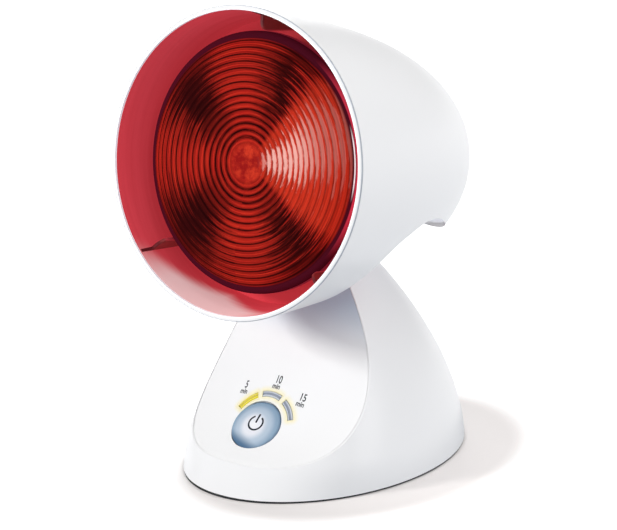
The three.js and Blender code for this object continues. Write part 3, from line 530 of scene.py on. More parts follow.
def inlet_grommet():
    """Rubber ring in the rear wall, with a rounded flange on both sides of the wall."""
    outside, inside = INLET["outside"], INLET["inside"]
    edge = INLET["flange"]
    profile = [
        (INLET["bore"], inside - edge),
        (INLET["flange_radius"] - edge / 3, inside - edge),
        (INLET["flange_radius"], inside - edge / 2),
        (INLET["flange_radius"], inside),
        (INLET["neck_radius"], inside),
        (INLET["neck_radius"], outside),
        (INLET["flange_radius"], outside),
        (INLET["flange_radius"], outside + edge / 3),
        (INLET["flange_radius"] - edge / 4, outside + 2 * edge / 3),
        (INLET["flange_radius"] - 2 * edge / 3, outside + edge),
        (INLET["bore"] + edge / 3, outside + edge),
        (INLET["bore"], outside + 2 * edge / 3),
    ]
    ring = turned(profile, RING_SIDES, "joined")
    moved(ring, Matrix.Translation((0, 0, INLET["height"])))
    return settled(ring, "inlet_grommet")


def wall_rear(x, height, inset):
    """How far back the wall reaches at a height, beside the middle by x."""
    ring = bell_ring(height, inset)
    half = max(point[0] for point in ring)
    rear = max(point[1] for point in ring)
    return rear * math.sqrt(1 - (x / half) ** 2)


FLANGE_LOW = INLET["height"] - INLET["flange_radius"]
FLANGE_HIGH = INLET["height"] + INLET["flange_radius"]
INLET["outside"] = wall_rear(0, FLANGE_LOW, 0) + GAP
INLET["inside"] = wall_rear(INLET["flange_radius"], FLANGE_HIGH, BASE["wall"]) - GAP


# Controls


def button_cap():
    """Domed push button with a skirt, a stop flange and a stem."""
    radius, dome, low = BUTTON["radius"], BUTTON["dome"], -BUTTON["skirt"]
    profile = []
    for i in range(1, BUTTON_STEPS + 1):
        share = math.sin(QUARTER * i / BUTTON_STEPS)
        profile.append((radius * share, dome * (1 - share**BUTTON_FALL_POWER) ** BUTTON_CROWN_POWER))
    profile += [
        (radius, low + BUTTON["flange_thickness"]),
        (radius + BUTTON["flange"], low + BUTTON["flange_thickness"]),
        (radius + BUTTON["flange"], low),
        (radius - BUTTON["wall"], low),
        (radius - BUTTON["wall"], -BUTTON["wall"]),
        (BUTTON["stem_radius"], -BUTTON["wall"]),
        (BUTTON["stem_radius"], low),
        (BUTTON["stem_radius"] / 2, low),
    ]
    cap = moved(turned(profile, ROUND_SIDES, "pointed", "Z"), BUTTON_FRAME)
    return settled(cap, "button_cap")


def bar_section(angle, share):
    """One cross-section of a light bar: its channel fades out towards both ends."""
    edge = BAR["edge"]
    at_end = 1 - min(share, 1 - share) / BAR_TUCK_SHARE
    top = BAR["proud"] - edge * max(at_end, 0)
    groove = BAR["groove"]
    if at_end > 0:
        groove *= min(max(BAR_GROOVE_FADE_SHARE - at_end, 0), 1)
    if share in (0, 1):
        groove = 0
    side = [
        (-BAR_HALF, -BAR["depth"]),
        (-BAR_HALF, top - edge),
        (-BAR_HALF + edge / 3, top - edge / 3),
        (-BAR_HALF + edge, top),
        (-BAR_HALF + BAR["frame"], top),
        (-BAR_HALF + BAR["frame"] + edge, top - groove),
    ]
    other_side = [(-across, height) for across, height in reversed(side)]
    section = []
    for across, height in side + other_side:
        x = (BAR_MIDDLE + across) * math.sin(angle)
        up = (BAR_MIDDLE + across) * math.cos(angle)
        lift = panel_rise(x, up) if height > -BAR["depth"] else 0
        section.append((x, up, height + lift))
    return section


def light_bar(name, middle):
    body_share = 1 - 2 * BAR_BODY_SHARE
    shares = BAR_END_SHARES + [BAR_BODY_SHARE + body_share * i / BAR_STEPS for i in range(BAR_STEPS + 1)]
    shares += [1 - share for share in reversed(BAR_END_SHARES)]
    sections = [bar_section(middle + BAR_HALF_ANGLE * (2 * share - 1), share) for share in shares]
    return settled(moved(ring_drawn(sections, "flat"), CONTROL), f"light_bar_{name}")


# Words with their place across and up, their height and the share of their width that they keep
LABELS = [
    ("5", -16.9, 18.6, 5.2, 0.7),
    ("min", -17.0, 15.2, 3.6, 0.82),
    ("10", 0.7, 23.9, 5.2, 0.7),
    ("min", 0.5, 20.6, 3.6, 0.82),
    ("15", 16.5, 19.0, 5.2, 0.7),
    ("min", 16.3, 15.6, 3.6, 0.82),
]
LABEL = {"thickness": 0.06, "proud": 0.03, "boldness": 0.075}


def time_label(index, words, x, up, size, width_share):
    """A printed word on the panel, thin and bent to its crown."""
    clear_selection()
    bpy.ops.object.text_add()
    obj = bpy.context.object
    obj.data.body = words
    obj.data.size = size
    obj.data.align_x = "CENTER"
    obj.data.align_y = "CENTER"
    obj.data.extrude = LABEL["thickness"] / 2
    obj.data.offset = LABEL["boldness"]
    bpy.ops.object.convert(target="MESH")
    obj = bpy.context.object
    for vertex in obj.data.vertices:
        place = Vector((vertex.co.x * width_share + x, vertex.co.y + up))
        height = panel_rise(place.x, place.y) + vertex.co.z + LABEL["proud"]
        vertex.co = (place.x, place.y, height)
    moved(obj, CONTROL)
    return settled(obj, f"time_print_{index}")


# Hood and bulb


def hood_radius(back, inset):
    share = min(back / (HOOD["length"] - inset), 1)
    taper = 1 - HOOD_TAPER_SHARE * share
    return (HOOD["radius"] - inset) * taper * (1 - share**HOOD_ROUNDING) ** (1 / HOOD_FULLNESS)


def hood_wall(inset, start, stop, steps):
    end = HOOD["length"] - inset
    first = math.asin(start / end)
    last = math.asin(min(stop / end, 1))
    backs = [end * math.sin(first + (last - first) * i / steps) for i in range(steps + 1)]
    return [(hood_radius(back, inset), back) for back in backs]


def hood_tip(inset):
    """How far back a wall of the hood is drawn before its ring closes in a point."""
    return (HOOD["length"] - inset) * HOOD_TIP_SHARE


def liner_end():
    return HOOD["liner_start"] + GAP + HOOD["liner_length"]


def opening_prism():
    outline = []
    for i in range(OPENING_SIDES):
        angle = TURN * i / OPENING_SIDES
        in_front = math.sin(angle) < 0
        widest = HOOD["opening_widest"]
        reach = widest - HOOD["opening_front"] if in_front else HOOD["opening_rear"] - widest
        power = 2 / OPENING_SQUARENESS if in_front else OPENING_POINT_POWER
        x = HOOD["opening_half_width"] * side_power(math.cos(angle), power)
        outline.append((x, widest + reach * side_power(math.sin(angle), power)))
    rings = [[(x, y, height) for x, y in outline] for height in (-HOOD["radius"] - GAP, 0)]
    return ring_drawn(rings, "flat")


def hood_profile():
    """Round the wall from the tip: outside, fine line, lip, the liner's seat and inside."""
    groove = HOOD["wall"] - HOOD["liner_thickness"] - GAP
    groove_end = liner_end() + GAP
    lip = HOOD["lip_round"]
    corner = []
    for i in range(1, LIP_STEPS + 1):
        angle = QUARTER * i / LIP_STEPS
        corner.append((HOOD["radius"] - lip + lip * math.cos(angle), lip - lip * math.sin(angle)))
    line_end = lip + HOOD["line_width"]
    return [
        *reversed(hood_wall(0, line_end, hood_tip(0), HOOD_STEPS)),
        (hood_radius(line_end, HOOD["line_depth"]), line_end),
        (hood_radius(lip, HOOD["line_depth"]), lip),
        (HOOD["radius"], lip),
        *corner,
        (HOOD["radius"] - HOOD["wall"], 0),
        (hood_radius(HOOD["liner_start"], HOOD["wall"]), HOOD["liner_start"]),
        *hood_wall(groove, HOOD["liner_start"], groove_end, GROOVE_STEPS),
        *hood_wall(HOOD["wall"], groove_end, hood_tip(HOOD["wall"]), HOOD_STEPS),
    ]


def hood_housing():
    """Blunt shell, open in front and underneath, with three screw bosses in its tip."""
    hood = combined(turned(hood_profile(), HOOD_SIDES, "pointed"), opening_prism())
    middle = HOOD["wall"] / 2
    inside = turned(hood_wall(middle, 0, hood_tip(middle), HOOD_STEPS), ROUND_SIDES, "flat")
    for angle in BOSS_ANGLES:
        place = Matrix.Translation((BOSS["reach"] * math.cos(angle), 0, BOSS["reach"] * math.sin(angle)))
        place = place @ Matrix.Rotation(-QUARTER, 4, "X")
        boss = rod(BOSS["radius"], BOSS["front"], BOSS["back"], BORE_SIDES, place)
        combined(boss, inside, "INTERSECT", keep=True)
        combined(hood, boss, "UNION")
    bpy.data.objects.remove(inside)
    return settled(moved(hood, HEAD), "hood_housing")


def rim_liner():
    """Thin red band inside the rim, with a flange that closes the gap behind the bulb's edge."""
    start = HOOD["liner_start"] + GAP
    flange_start = liner_end() - HOOD["liner_flange"]
    bore = HOOD["liner_bore"]
    outer = hood_wall(HOOD["wall"] - HOOD["liner_thickness"], start, liner_end(), LINER_STEPS)
    inner = hood_wall(HOOD["wall"], start, flange_start, LINER_STEPS)
    profile = [*outer, (bore, liner_end()), (bore, flange_start), *reversed(inner)]
    liner = turned(profile, HOOD_SIDES, "joined")
    return settled(moved(liner, HEAD), "rim_liner")


def fin_outline(inset):
    """A fin from the side: round at its front, with a low ridge that runs on towards the rim."""
    crest, corner = FIN["crest"] + inset, FIN["round"]
    outline = []
    for i in range(FIN_STEPS + 1):
        angle = QUARTER * i / FIN_STEPS
        back = FIN["start"] + inset + corner * (1 - math.cos(angle))
        outline.append((crest + corner * (1 - math.sin(angle)), back))
    outline.append((crest, FIN["end"]))
    length = FIN["end"] - FIN["ridge_start"]
    for i in range(FIN_STEPS + 1):
        back = FIN["end"] - length * i / FIN_STEPS
        outline.append((hood_radius(back, HOOD["wall"]) - FIN["play"], back))
    for i in range(FIN_STEPS + 1):
        share = i / FIN_STEPS
        back = FIN["ridge_start"] + (FIN["start"] - FIN["ridge_start"]) * share
        height = FIN["ridge"] * (FIN_RIDGE_START_SHARE + (1 - FIN_RIDGE_START_SHARE) * share) - inset
        outline.append((hood_radius(back, HOOD["wall"]) - FIN["play"] - height, back))
    return outline


def centring_fin(index, angle):
    half, edge = FIN["thickness"] / 2, FIN["edge"]
    rings = []
    for across, inset in ((-half, edge), (edge - half, 0), (half - edge, 0), (half, edge)):
        rings.append([(across, back, radius) for radius, back in fin_outline(inset)])
    blade = ring_drawn(rings, "flat")
    return settled(moved(blade, HEAD @ Matrix.Rotation(angle, 4, "Y")), f"centring_fin_{index}")


def lens_depth(radius):
    """How far back the glass lies: flat in the middle, a little forward outside and round at the rim."""
    share = radius / LENS["rim_radius"]
    rise = min(max((share - LENS_SWELL_START_SHARE) / LENS_SWELL_SPAN_SHARE, 0), 1)
    swell = LENS["swell"] * rise * rise * (3 - 2 * rise)
    shoulder = (LENS["rim_back"] - LENS["front"] + LENS["swell"]) * share**LENS_SHOULDER_POWER
    return LENS["front"] - swell + shoulder


def lens_ripple(radius):
    """Depth of the pressed grooves: coarse ones outside, fine ones round a plain disc."""
    if radius < LENS["disc"] or radius > LENS["rim_radius"] - LENS["plain_edge"]:
        return 0
    if radius < LENS["first_ring"]:
        phase = (radius - LENS["disc"]) / LENS["disc_pitch"]
        return LENS["disc_groove"] * (1 - math.cos(TURN * phase)) / 2
    phase = (radius - LENS["first_ring"]) / LENS["pitch"]
    return LENS["groove"] * (1 - abs(math.cos(math.pi * phase)))


def ribbed_lens():
    rim = LENS["rim_radius"]
    profile = []
    for i in range(1, LENS_STEPS + 1):
        radius = rim * i / LENS_STEPS
        profile.append((radius, lens_depth(radius) + lens_ripple(radius)))
    bead = LENS["radius"] - rim
    for i in range(1, LENS_BEAD_STEPS + 1):
        angle = QUARTER * i / LENS_BEAD_STEPS
        fall = bead * (1 - math.cos(angle)) * LENS_BEAD_SHARE
        profile.append((rim + bead * math.sin(angle), LENS["rim_back"] + fall))
    profile.append((LENS["radius"], LENS["bead_back"]))
    back = LENS["front"] + LENS["glass"]
    for i in range(LENS_BACK_STEPS):
        share = 1 - i / LENS_BACK_STEPS
        profile.append((rim * share, back + (LENS["bead_back"] - back) * share * share))
    lens = turned(profile, LENS_SIDES, "pointed")
    return settled(moved(lens, HEAD), "ribbed_lens")


def smooth_curve(points, steps):
    """Points of a spline that passes through the given ones."""
    padded = [points[0], *points, points[-1]]
    curve = []
    for k in range(len(points) - 1):
        a, b, c, d = (Vector(point) for point in padded[k : k + 4])
        for i in range(steps):
            t = i / steps
            bend = 2 * b + (c - a) * t + (2 * a - 5 * b + 4 * c - d) * t**2 + (3 * b - a - 3 * c + d) * t**3
            curve.append(tuple(bend / 2))
    return [*curve, points[-1]]


def bulb_envelope():
    """Silvered glass behind the lens, down to the neck in the cap."""
    glass = REFLECTOR["glass"]
    outer = [(LENS["radius"], REFLECTOR["start"]), *smooth_curve(REFLECTOR_POINTS, REFLECTOR_STEPS)]
    outer.append((REFLECTOR["neck_radius"], REFLECTOR["end"]))
    inner = [(radius - glass, back) for radius, back in outer]
    envelope = turned([*outer, *reversed(inner)], ROUND_SIDES, "joined")
    return settled(moved(envelope, HEAD), "bulb_envelope")


# Finishes

NO_LIGHT = (0, 0, 0, 1)

# The curve by which a screen's levels become light
SCREEN_LEVELS = 255
SCREEN_TOE_SHARE = 0.04045
SCREEN_TOE_SLOPE = 12.92
SCREEN_OFFSET_SHARE = 0.055
SCREEN_POWER = 2.4

# Colours as a screen shows them
COLOURS = {
    "white": (255, 255, 255),
    "shell": (249, 249, 250),
    "shell_other": (251, 251, 252),
    "rim_corner_shade": (150, 158, 174),
    "hood_inside_glow": (214, 222, 236),
    "panel": (250, 250, 251),
    "panel_other": (253, 253, 253),
    "panel_shade": (198, 219, 236),
    "panel_glow": (255, 243, 176),
    "plate": (120, 123, 128),
    "plate_other": (108, 112, 118),
    "grey": (176, 180, 186),
    "grey_other": (166, 170, 178),
    "black": (34, 35, 38),
    "black_other": (46, 47, 50),
    "rubber": (42, 43, 45),
    "rubber_other": (52, 53, 56),
    "ink": (40, 42, 50),
    "ink_other": (50, 52, 60),
    "ceramic": (236, 232, 222),
    "ceramic_other": (226, 220, 208),
    "steel": (176, 179, 184),
    "steel_other": (150, 153, 160),
    "brass": (206, 168, 92),
    "brass_other": (178, 138, 70),
    "button_pale": (250, 250, 254),
    "button_lavender": (238, 240, 247),
    "button_mist": (188, 204, 220),
    "button_blue": (144, 170, 194),
    "button_steel": (112, 142, 172),
    "button_low_edge_shade": (70, 106, 140),
    "button_rim": (100, 122, 146),
    "button_mark": (26, 32, 46),
    "bar_lit_frame": (240, 226, 30),
    "bar_lit_channel": (204, 184, 10),
    "bar_unlit_frame": (208, 214, 224),
    "bar_unlit_channel": (138, 148, 166),
    "liner": (212, 72, 84),
    "liner_other": (194, 58, 68),
    "liner_deep_shade": (172, 46, 54),
    "liner_shade": (92, 34, 32),
    "liner_sheen": (226, 198, 198),
    "fin": (142, 52, 52),
    "fin_other": (122, 44, 44),
    "fin_front_shade": (84, 22, 30),
    "fin_crest_highlight": (214, 70, 84),
    "lens": (176, 32, 28),
    "lens_other": (206, 50, 34),
    "lens_lit_sector": (218, 60, 36),
    "lens_shaded_sector": (40, 10, 11),
    "lens_groove": (30, 5, 7),
    "lens_thread": (62, 10, 12),
    "lens_highlight_streak": (252, 190, 178),
    "disc": (148, 24, 24),
    "disc_other": (216, 62, 40),
    "bead": (64, 12, 26),
    "bead_lit_band": (200, 54, 76),
    "bead_glint": (250, 236, 240),
    "silver": (196, 196, 200),
    "silver_other": (168, 166, 170),
    "silver_front": (84, 16, 30),
    "silver_front_painted_glow": (150, 32, 56),
    "board": (34, 96, 62),
    "board_track": (84, 150, 92),
    "board_mottle": (20, 60, 40),
}

# Looks of the white plastic, and the skin that all plastic has
SHELL = {"roughness": 0.36, "coat": 0.05, "shine": 0.3}
PLASTIC = {
    "drift": 0.02,
    "drift_gloss": 0.06,
    "grain": 2.2,
    "grain_gloss": 0.08,
    "grain_height": 0.02,
    "grain_strength": 0.25,
    "coat_roughness": 0.06,
}

# Places of colour in millimetres and radians, and its shares. A pair is where a soft edge starts and ends.
HOOD_PAINT = {
    "corner_inner": 0.5,
    "corner_outer": 0.1,
    "corner_back": (0.7, 1.3),
    "corner_share": 0.8,
    "glow_depth": (0.1, 0.8),
    "glow": 0.4,
}
PANEL_PAINT = {
    "roughness": 0.34,
    "shade_height": (60.0, 86.0),
    "shade_share": 0.85,
    "glow_reach": 3.6,
    "glow_share": 0.8,
    "bar_glow_shares": (1.0, 0.8, 0.8),
}
BUTTON_PAINT = {
    "middle_drop": 1.2,
    "reach": 13.8,
    "shaded_low_edge": (7.0, 12.4),
    "low_edge_lean": 0.3,
    "low_edge_share": 0.9,
    "rim": 0.7,
    "rim_share": 0.35,
}
BUTTON_TONES = [
    (0.0, "button_pale"),
    (0.3, "button_lavender"),
    (0.6, "button_mist"),
    (0.88, "button_blue"),
    (1.0, "button_steel"),
]
POWER_MARK = {
    "radius": 3.7,
    "ring_half": (0.34, 0.54),
    "gap": (0.5, 0.56),
    "stroke_half": (0.38, 0.58),
    "stroke_up": 2.5,
    "stroke_reach": (2.3, 2.5),
}
BAR_PAINT = {"channel": (0.35, 0.8), "cloud_share": 0.15}
LINER_PAINT = {
    "depth": (2.0, 36.0),
    "depth_share": 0.5,
    "shade_angle": math.radians(40),
    "shade_half": (math.radians(10), math.radians(70)),
    "shade_share": 0.75,
    "sheen_angle": math.radians(192),
    "sheen_half": (math.radians(16), math.radians(42)),
    "sheen_reach": 32.0,
    "sheen_narrowing": 34,
    "sheen_edge": (-9.0, 2.0),
    "sheen_streaks": 4,
    "sheen_share": 0.85,
}
FIN_PAINT = {"crest": 1.0, "crest_share": 0.8, "front": 0.2, "front_end": 1.6, "front_share": 0.8}
LENS_PAINT = {
    "mottle": (0.3, 0.7),
    "wander": 0.3,
    "raggedness": 1.6,
    "sectors": (6.0, 36.0),
    "sectors_share": 0.97,
    "sectors_fade": (48.0, 57.0),
    "sectors_fade_share": 0.2,
    "bright_angle": math.radians(78),
    "bright_half": (math.radians(36), math.radians(46)),
    "bright": (5.0, 14.0),
    "bright_share": 0.6,
    "bright_groove_loss": 0.5,
    "bright_thread_loss": 0.6,
    "grooves": (7.5, 11.0),
    "groove_power": 0.9,
    "groove_break": (0.3, 0.55),
    "grooves_narrow": (16.0, 38.0),
    "narrow_power": 2.2,
    "threads": (26.0, 50.0),
    "thread_count": 3,
    "thread_share": 0.6,
    "glint_lean": (20.0, 45.0),
    "glint_lean_angle": 0.16,
    "glint_half": (0.06, 0.66),
    "streaks": (1.1, 1.36),
    "streaks_share": 0.92,
    "streaks_fade": (26.0, 48.0),
    "streaks_fade_share": 0.72,
    "disc_inner": 4,
    "disc_outer": 1,
    "disc_mottle": (0.4, 0.7),
    "disc_share": 0.9,
    "bead": 1.2,
    "band_radius": 59.6,
    "band_half": (0.6, 1.1),
    "band_sweep": (0.4, 0.9),
    "band_share": 0.9,
    "bead_glint_radius": 58.1,
    "bead_glint_half": (0.15, 0.45),
    "bead_glint_angle": 0.05,
    "bead_glint_sweep": (0.14, 0.32),
    "bead_glint_share": 0.9,
}
SILVER_PAINT = {"front": 24.0, "front_end": 28.0}
BOARD_PAINT = {
    "tracks": 1.9,
    "track": (0.55, 0.8),
    "bends": 0.7,
    "bend": 1.6,
    "track_share": 0.5,
    "mottle_share": 0.2,
}


def paint(name):
    """One of the colours, made linear."""
    linear = []
    for level in COLOURS[name]:
        share = level / SCREEN_LEVELS
        if share <= SCREEN_TOE_SHARE:
            linear.append(share / SCREEN_TOE_SLOPE)
        else:
            linear.append(((share + SCREEN_OFFSET_SHARE) / (1 + SCREEN_OFFSET_SHARE)) ** SCREEN_POWER)
    return (*linear, 1.0)


class Value:
    """A number made by shader nodes, so that sums of such numbers read as sums."""

    def __init__(self, finish, socket):
        self.finish = finish
        self.socket = socket

    def __add__(self, other):
        return self.finish.math("ADD", self, other)

    def __sub__(self, other):
        return self.finish.math("SUBTRACT", self, other)

    def __rsub__(self, other):
        return self.finish.math("SUBTRACT", other, self)

    def __mul__(self, other):
        return self.finish.math("MULTIPLY", self, other)

    def __truediv__(self, other):
        return self.finish.math("DIVIDE", self, other)

    def __pow__(self, other):
        return self.finish.math("POWER", self, other)

    def __abs__(self):
        return self.finish.math("ABSOLUTE", self)

    __radd__ = __add__
    __rmul__ = __mul__


class Finish:
    """One material: its shader, its nodes and the record's slot that it belongs to."""

    def __init__(self, name, slot, **sockets):
        self.slot = slot
        self.material = bpy.data.materials.new(name)
        self.material.use_nodes = True
        self.tree = self.material.node_tree
        self.shader = self.tree.nodes["Principled BSDF"]
        self.set(**sockets)

    def set(self, **sockets):
        for key, value in sockets.items():
            self.join(self.shader.inputs[key.replace("_", " ").title().replace("Ior", "IOR")], value)
        return self

    def join(self, socket, value):
        if isinstance(value, Value):
            value = value.socket
        if isinstance(value, bpy.types.NodeSocket):
            self.tree.links.new(value, socket)
        else:
            socket.default_value = value

    def node(self, kind, settings, inputs):
        """Any node: its settings come first, then the values or links of its sockets."""
        node = self.tree.nodes.new(f"ShaderNode{kind}")
        for key, value in settings.items():
            if key == "stops":
                self.set_stops(node.color_ramp, value)
            else:
                setattr(node, key, value)
        for key, value in inputs.items():
            self.join(node.inputs[key], value)
        return node

    def set_stops(self, ramp, stops):
        ramp.interpolation = "EASE"
        while len(ramp.elements) < len(stops):
            ramp.elements.new(1)
        for element, (position, colour) in zip(ramp.elements, stops):
            element.position = position
            element.color = colour

    def math(self, operation, *terms):
        node = self.node("Math", {"operation": operation}, dict(enumerate(terms)))
        return Value(self, node.outputs[0])

    def place(self, matrix=None, turn=0.0):
        """Object coordinates in millimetres, in a frame of the layout that is turned about X."""
        origin = LAYOUT @ (matrix.to_translation() if matrix else Vector((0, 0, 0)))
        inputs = {
            "Vector": self.node("TexCoord", {}, {}).outputs["Object"],
            "Location": origin,
            "Rotation": (turn, 0, 0),
            "Scale": (MM, MM, MM),
        }
        return self.node("Mapping", {"vector_type": "TEXTURE"}, inputs).outputs[0]

    def parts(self, vector):
        node = self.node("SeparateXYZ", {}, {0: vector})
        return [Value(self, socket) for socket in node.outputs]

    def panel_place(self, matrix):
        """Place across, up and out, square to the panel."""
        return self.parts(self.place(matrix, control_turn()))

    def head_place(self):
        """Place across, back from the rim and up, about the hood's axis."""
        return self.parts(self.place(HEAD, -HOOD_TILT))

    def vector(self, x, y, z):
        return self.node("CombineXYZ", {}, {0: x, 1: y, 2: z}).outputs[0]

    def noise(self, vector, scale, detail=2.0, roughness=0.5):
        inputs = {"Vector": vector, "Scale": scale, "Detail": detail, "Roughness": roughness}
        return Value(self, self.node("TexNoise", {}, inputs).outputs[0])

    def step(self, value, low, high):
        """Goes smoothly from 0 at the low end to 1 at the high end."""
        settings = {"interpolation_type": "SMOOTHSTEP"}
        inputs = {"Value": value, "From Min": low, "From Max": high}
        return Value(self, self.node("MapRange", settings, inputs).outputs[0])

    def fall(self, value, low, high):
        """Goes smoothly from 1 at the low end to 0 at the high end."""
        return 1.0 - self.step(value, low, high)

    def most(self, first, second):
        return self.math("MAXIMUM", first, second)

    def sweep(self, across, up):
        """The angle round from straight up."""
        return self.math("ARCTAN2", across, up)

    def past(self, sweep, angle):
        """How far a sweep is past an angle, by the shorter way round."""
        return self.math("WRAP", sweep - angle, math.pi, -math.pi)

    def mix(self, share, first, second):
        """Colour that goes from the first to the second with the share."""
        node = self.node("Mix", {"data_type": "RGBA"}, {0: share, 6: first, 7: second})
        return node.outputs[2]

    def mottled(self, name, share):
        """A colour that goes to its other tone with the share."""
        return self.mix(share, paint(name), paint(f"{name}_other"))

    def over(self, colour, name, share):
        """A named colour laid over another by a share."""
        return self.mix(share, colour, paint(name))

    def relief(self, height, strength):
        """Bump of a height in millimetres."""
        inputs = {"Strength": strength, "Distance": MM, "Height": height}
        self.set(normal=self.node("Bump", {}, inputs).outputs[0])
        return self


def distance(across, along):
    return (across * across + along * along) ** 0.5


def skinned(finish, grain):
    """The skin of moulded plastic: its relief, its slow drift in tone and its change of gloss."""
    place = finish.place()
    drift = finish.noise(place, scale=PLASTIC["drift"], detail=3.0)
    skin = finish.noise(place, scale=grain)
    finish.relief(skin * PLASTIC["grain_height"], PLASTIC["grain_strength"])
    return drift, (skin - 0.5) * PLASTIC["grain_gloss"]


def moulded(name, slot, colour, roughness, grain, coat=0.0, shine=0.5):
    """Moulded plastic: a faint drift in colour and gloss, and a fine skin."""
    coat_roughness = PLASTIC["coat_roughness"]
    finish = Finish(name, slot, coat_weight=coat, coat_roughness=coat_roughness, specular_ior_level=shine)
    drift, gloss = skinned(finish, grain)
    finish.set(base_color=finish.mottled(colour, drift))
    return finish.set(roughness=roughness + gloss + (drift - 0.5) * PLASTIC["drift_gloss"])


def metal(name, slot, colour, roughness, brushing):
    """Metal with fine drawn lines and a little tarnish."""
    finish = Finish(name, slot, metallic=1.0)
    x, y, z = finish.parts(finish.place())
    brushed = finish.vector(x * brushing[0], y * brushing[1], z * brushing[2])
    lines = finish.noise(brushed, scale=1.0, detail=3.0)
    tarnish = finish.noise(finish.place(), scale=0.12, detail=4.0, roughness=0.6)
    finish.set(base_color=finish.mottled(colour, tarnish))
    finish.set(roughness=roughness + (lines - 0.5) * 0.2)
    return finish.relief(lines * 0.03, strength=0.3)


def shell_sockets():
    return {
        "coat_weight": SHELL["coat"],
        "coat_roughness": PLASTIC["coat_roughness"],
        "specular_ior_level": SHELL["shine"],
    }


def hood_finish():
    """The shell's white plastic, with a painted glow on its inside and painted shade along the lip's outer
    corner.
    """
    finish = Finish("hood_gloss", "shell_white", **shell_sockets())
    drift, gloss = skinned(finish, PLASTIC["grain"])
    x, back, up = finish.head_place()
    radius = distance(x, up)
    plain = finish.mottled("shell", drift)
    # Painted shade: a grey line along the lip's rounded outer corner.
    corner_inner = HOOD["radius"] - HOOD_PAINT["corner_inner"]
    corner_outer = HOOD["radius"] - HOOD_PAINT["corner_outer"]
    corner = finish.step(radius, corner_inner, corner_outer) * finish.fall(back, *HOOD_PAINT["corner_back"])
    finish.set(base_color=finish.over(plain, "rim_corner_shade", corner * HOOD_PAINT["corner_share"]))
    finish.set(roughness=SHELL["roughness"] + gloss)
    # Painted light: the inside of the wall glows, though no lamp lights it.
    middle = HOOD["wall"] / 2
    share = finish.math("MINIMUM", back / (HOOD["length"] - middle), 1.0)
    wall = (1.0 - share * HOOD_TAPER_SHARE) * (1.0 - share**HOOD_ROUNDING) ** (1 / HOOD_FULLNESS)
    depth = wall * (HOOD["radius"] - middle) - radius
    inside = finish.step(depth, *HOOD_PAINT["glow_depth"])
    glow = finish.mix(inside, NO_LIGHT, paint("hood_inside_glow"))
    return finish.set(emission_color=glow, emission_strength=HOOD_PAINT["glow"])


def panel_finish():
    """White panel, with painted pale yellow light round the three light bars and painted bluish shade
    towards the neck, under the hood.
    """
    finish = Finish("panel_gloss", "panel_white", specular_ior_level=0.04)
    drift, gloss = skinned(finish, PLASTIC["grain"])
    # Painted shade: bluish and darker towards the neck, where the hood casts its shadow.
    height = finish.parts(finish.place())[2]
    shade = finish.step(height, *PANEL_PAINT["shade_height"])
    x, up, _ = finish.panel_place(CONTROL)
    radius = distance(x, up)
    sweep = finish.sweep(x, up)
    # Painted light: a pale yellow pool on the panel round each light bar.
    across = finish.most(abs(radius - BAR_MIDDLE) - BAR_HALF, 0.0)
    glow = None
    for angle, share in zip(BAR_ANGLES, PANEL_PAINT["bar_glow_shares"]):
        along = finish.most((abs(sweep - angle) - BAR_HALF_ANGLE) * radius, 0.0)
        ring = finish.fall(distance(across, along), 0.0, PANEL_PAINT["glow_reach"]) * share
        glow = ring if glow is None else finish.most(glow, ring)
    plain = finish.mottled("panel", drift)
    plain = finish.over(plain, "panel_shade", shade * PANEL_PAINT["shade_share"])
    colour = finish.over(plain, "panel_glow", glow * PANEL_PAINT["glow_share"])
    return finish.set(base_color=colour, roughness=PANEL_PAINT["roughness"] + gloss)


def power_mark(finish, x, up):
    """The ring that is open at the top, and the stroke that stands in its gap."""
    ring = finish.fall(abs(distance(x, up) - POWER_MARK["radius"]), *POWER_MARK["ring_half"])
    open_top = finish.step(abs(finish.sweep(x, up)), *POWER_MARK["gap"])
    stroke = finish.fall(abs(x), *POWER_MARK["stroke_half"])
    stroke = stroke * finish.fall(abs(up - POWER_MARK["stroke_up"]), *POWER_MARK["stroke_reach"])
    return finish.most(ring * open_top, stroke)


def button_finish():
    """Pale lavender in the middle, steel blue at the rim, with painted shade along the lower edge and a
    printed power mark.
    """
    finish = Finish("button_satin", "button_blue", specular_ior_level=0.2)
    x, up, _ = finish.panel_place(BUTTON_FRAME)
    reach = distance(x, up + BUTTON_PAINT["middle_drop"]) / BUTTON_PAINT["reach"]
    stops = [(position, paint(name)) for position, name in BUTTON_TONES]
    colour = finish.node("ValToRGB", {"stops": stops}, {0: reach}).outputs[0]
    # Painted shade: the dome's lower edge darker, as if light fell from above.
    shaded_low_edge = finish.step(0 - up - x * BUTTON_PAINT["low_edge_lean"], *BUTTON_PAINT["shaded_low_edge"])
    colour = finish.over(colour, "button_low_edge_shade", shaded_low_edge * BUTTON_PAINT["low_edge_share"])
    rim = finish.step(distance(x, up), BUTTON["radius"] - BUTTON_PAINT["rim"], BUTTON["radius"])
    colour = finish.over(colour, "button_rim", rim * BUTTON_PAINT["rim_share"])
    mark = power_mark(finish, x - BUTTON["mark_x"], up - BUTTON["mark_up"])
    grain = finish.noise(finish.place(), scale=3.0)
    finish.set(base_color=finish.over(colour, "button_mark", mark))
    finish.set(roughness=0.42 + mark * 0.15 + (grain - 0.5) * 0.06)
    return finish.relief(grain * 0.02 + mark * 0.03, strength=0.4)


def bar_finish(name, slot, glow):
    """A light bar: pale frame, darker channel, and its own light where it is lit."""
    finish = Finish(name, slot, coat_weight=0.35, coat_roughness=0.05)
    x, up, _ = finish.panel_place(CONTROL)
    channel = finish.fall(abs(distance(x, up) - BAR_MIDDLE), *BAR_PAINT["channel"])
    cloud = finish.noise(finish.place(), scale=0.5, detail=3.0)
    colour = finish.over(paint(f"{name}_frame"), f"{name}_channel", channel)
    colour = finish.over(colour, "white", cloud * BAR_PAINT["cloud_share"])
    finish.set(base_color=colour, roughness=0.16 + cloud * 0.1)
    if glow:
        finish.set(emission_color=colour, emission_strength=glow)
    return finish.relief(cloud * 0.05, strength=0.4)


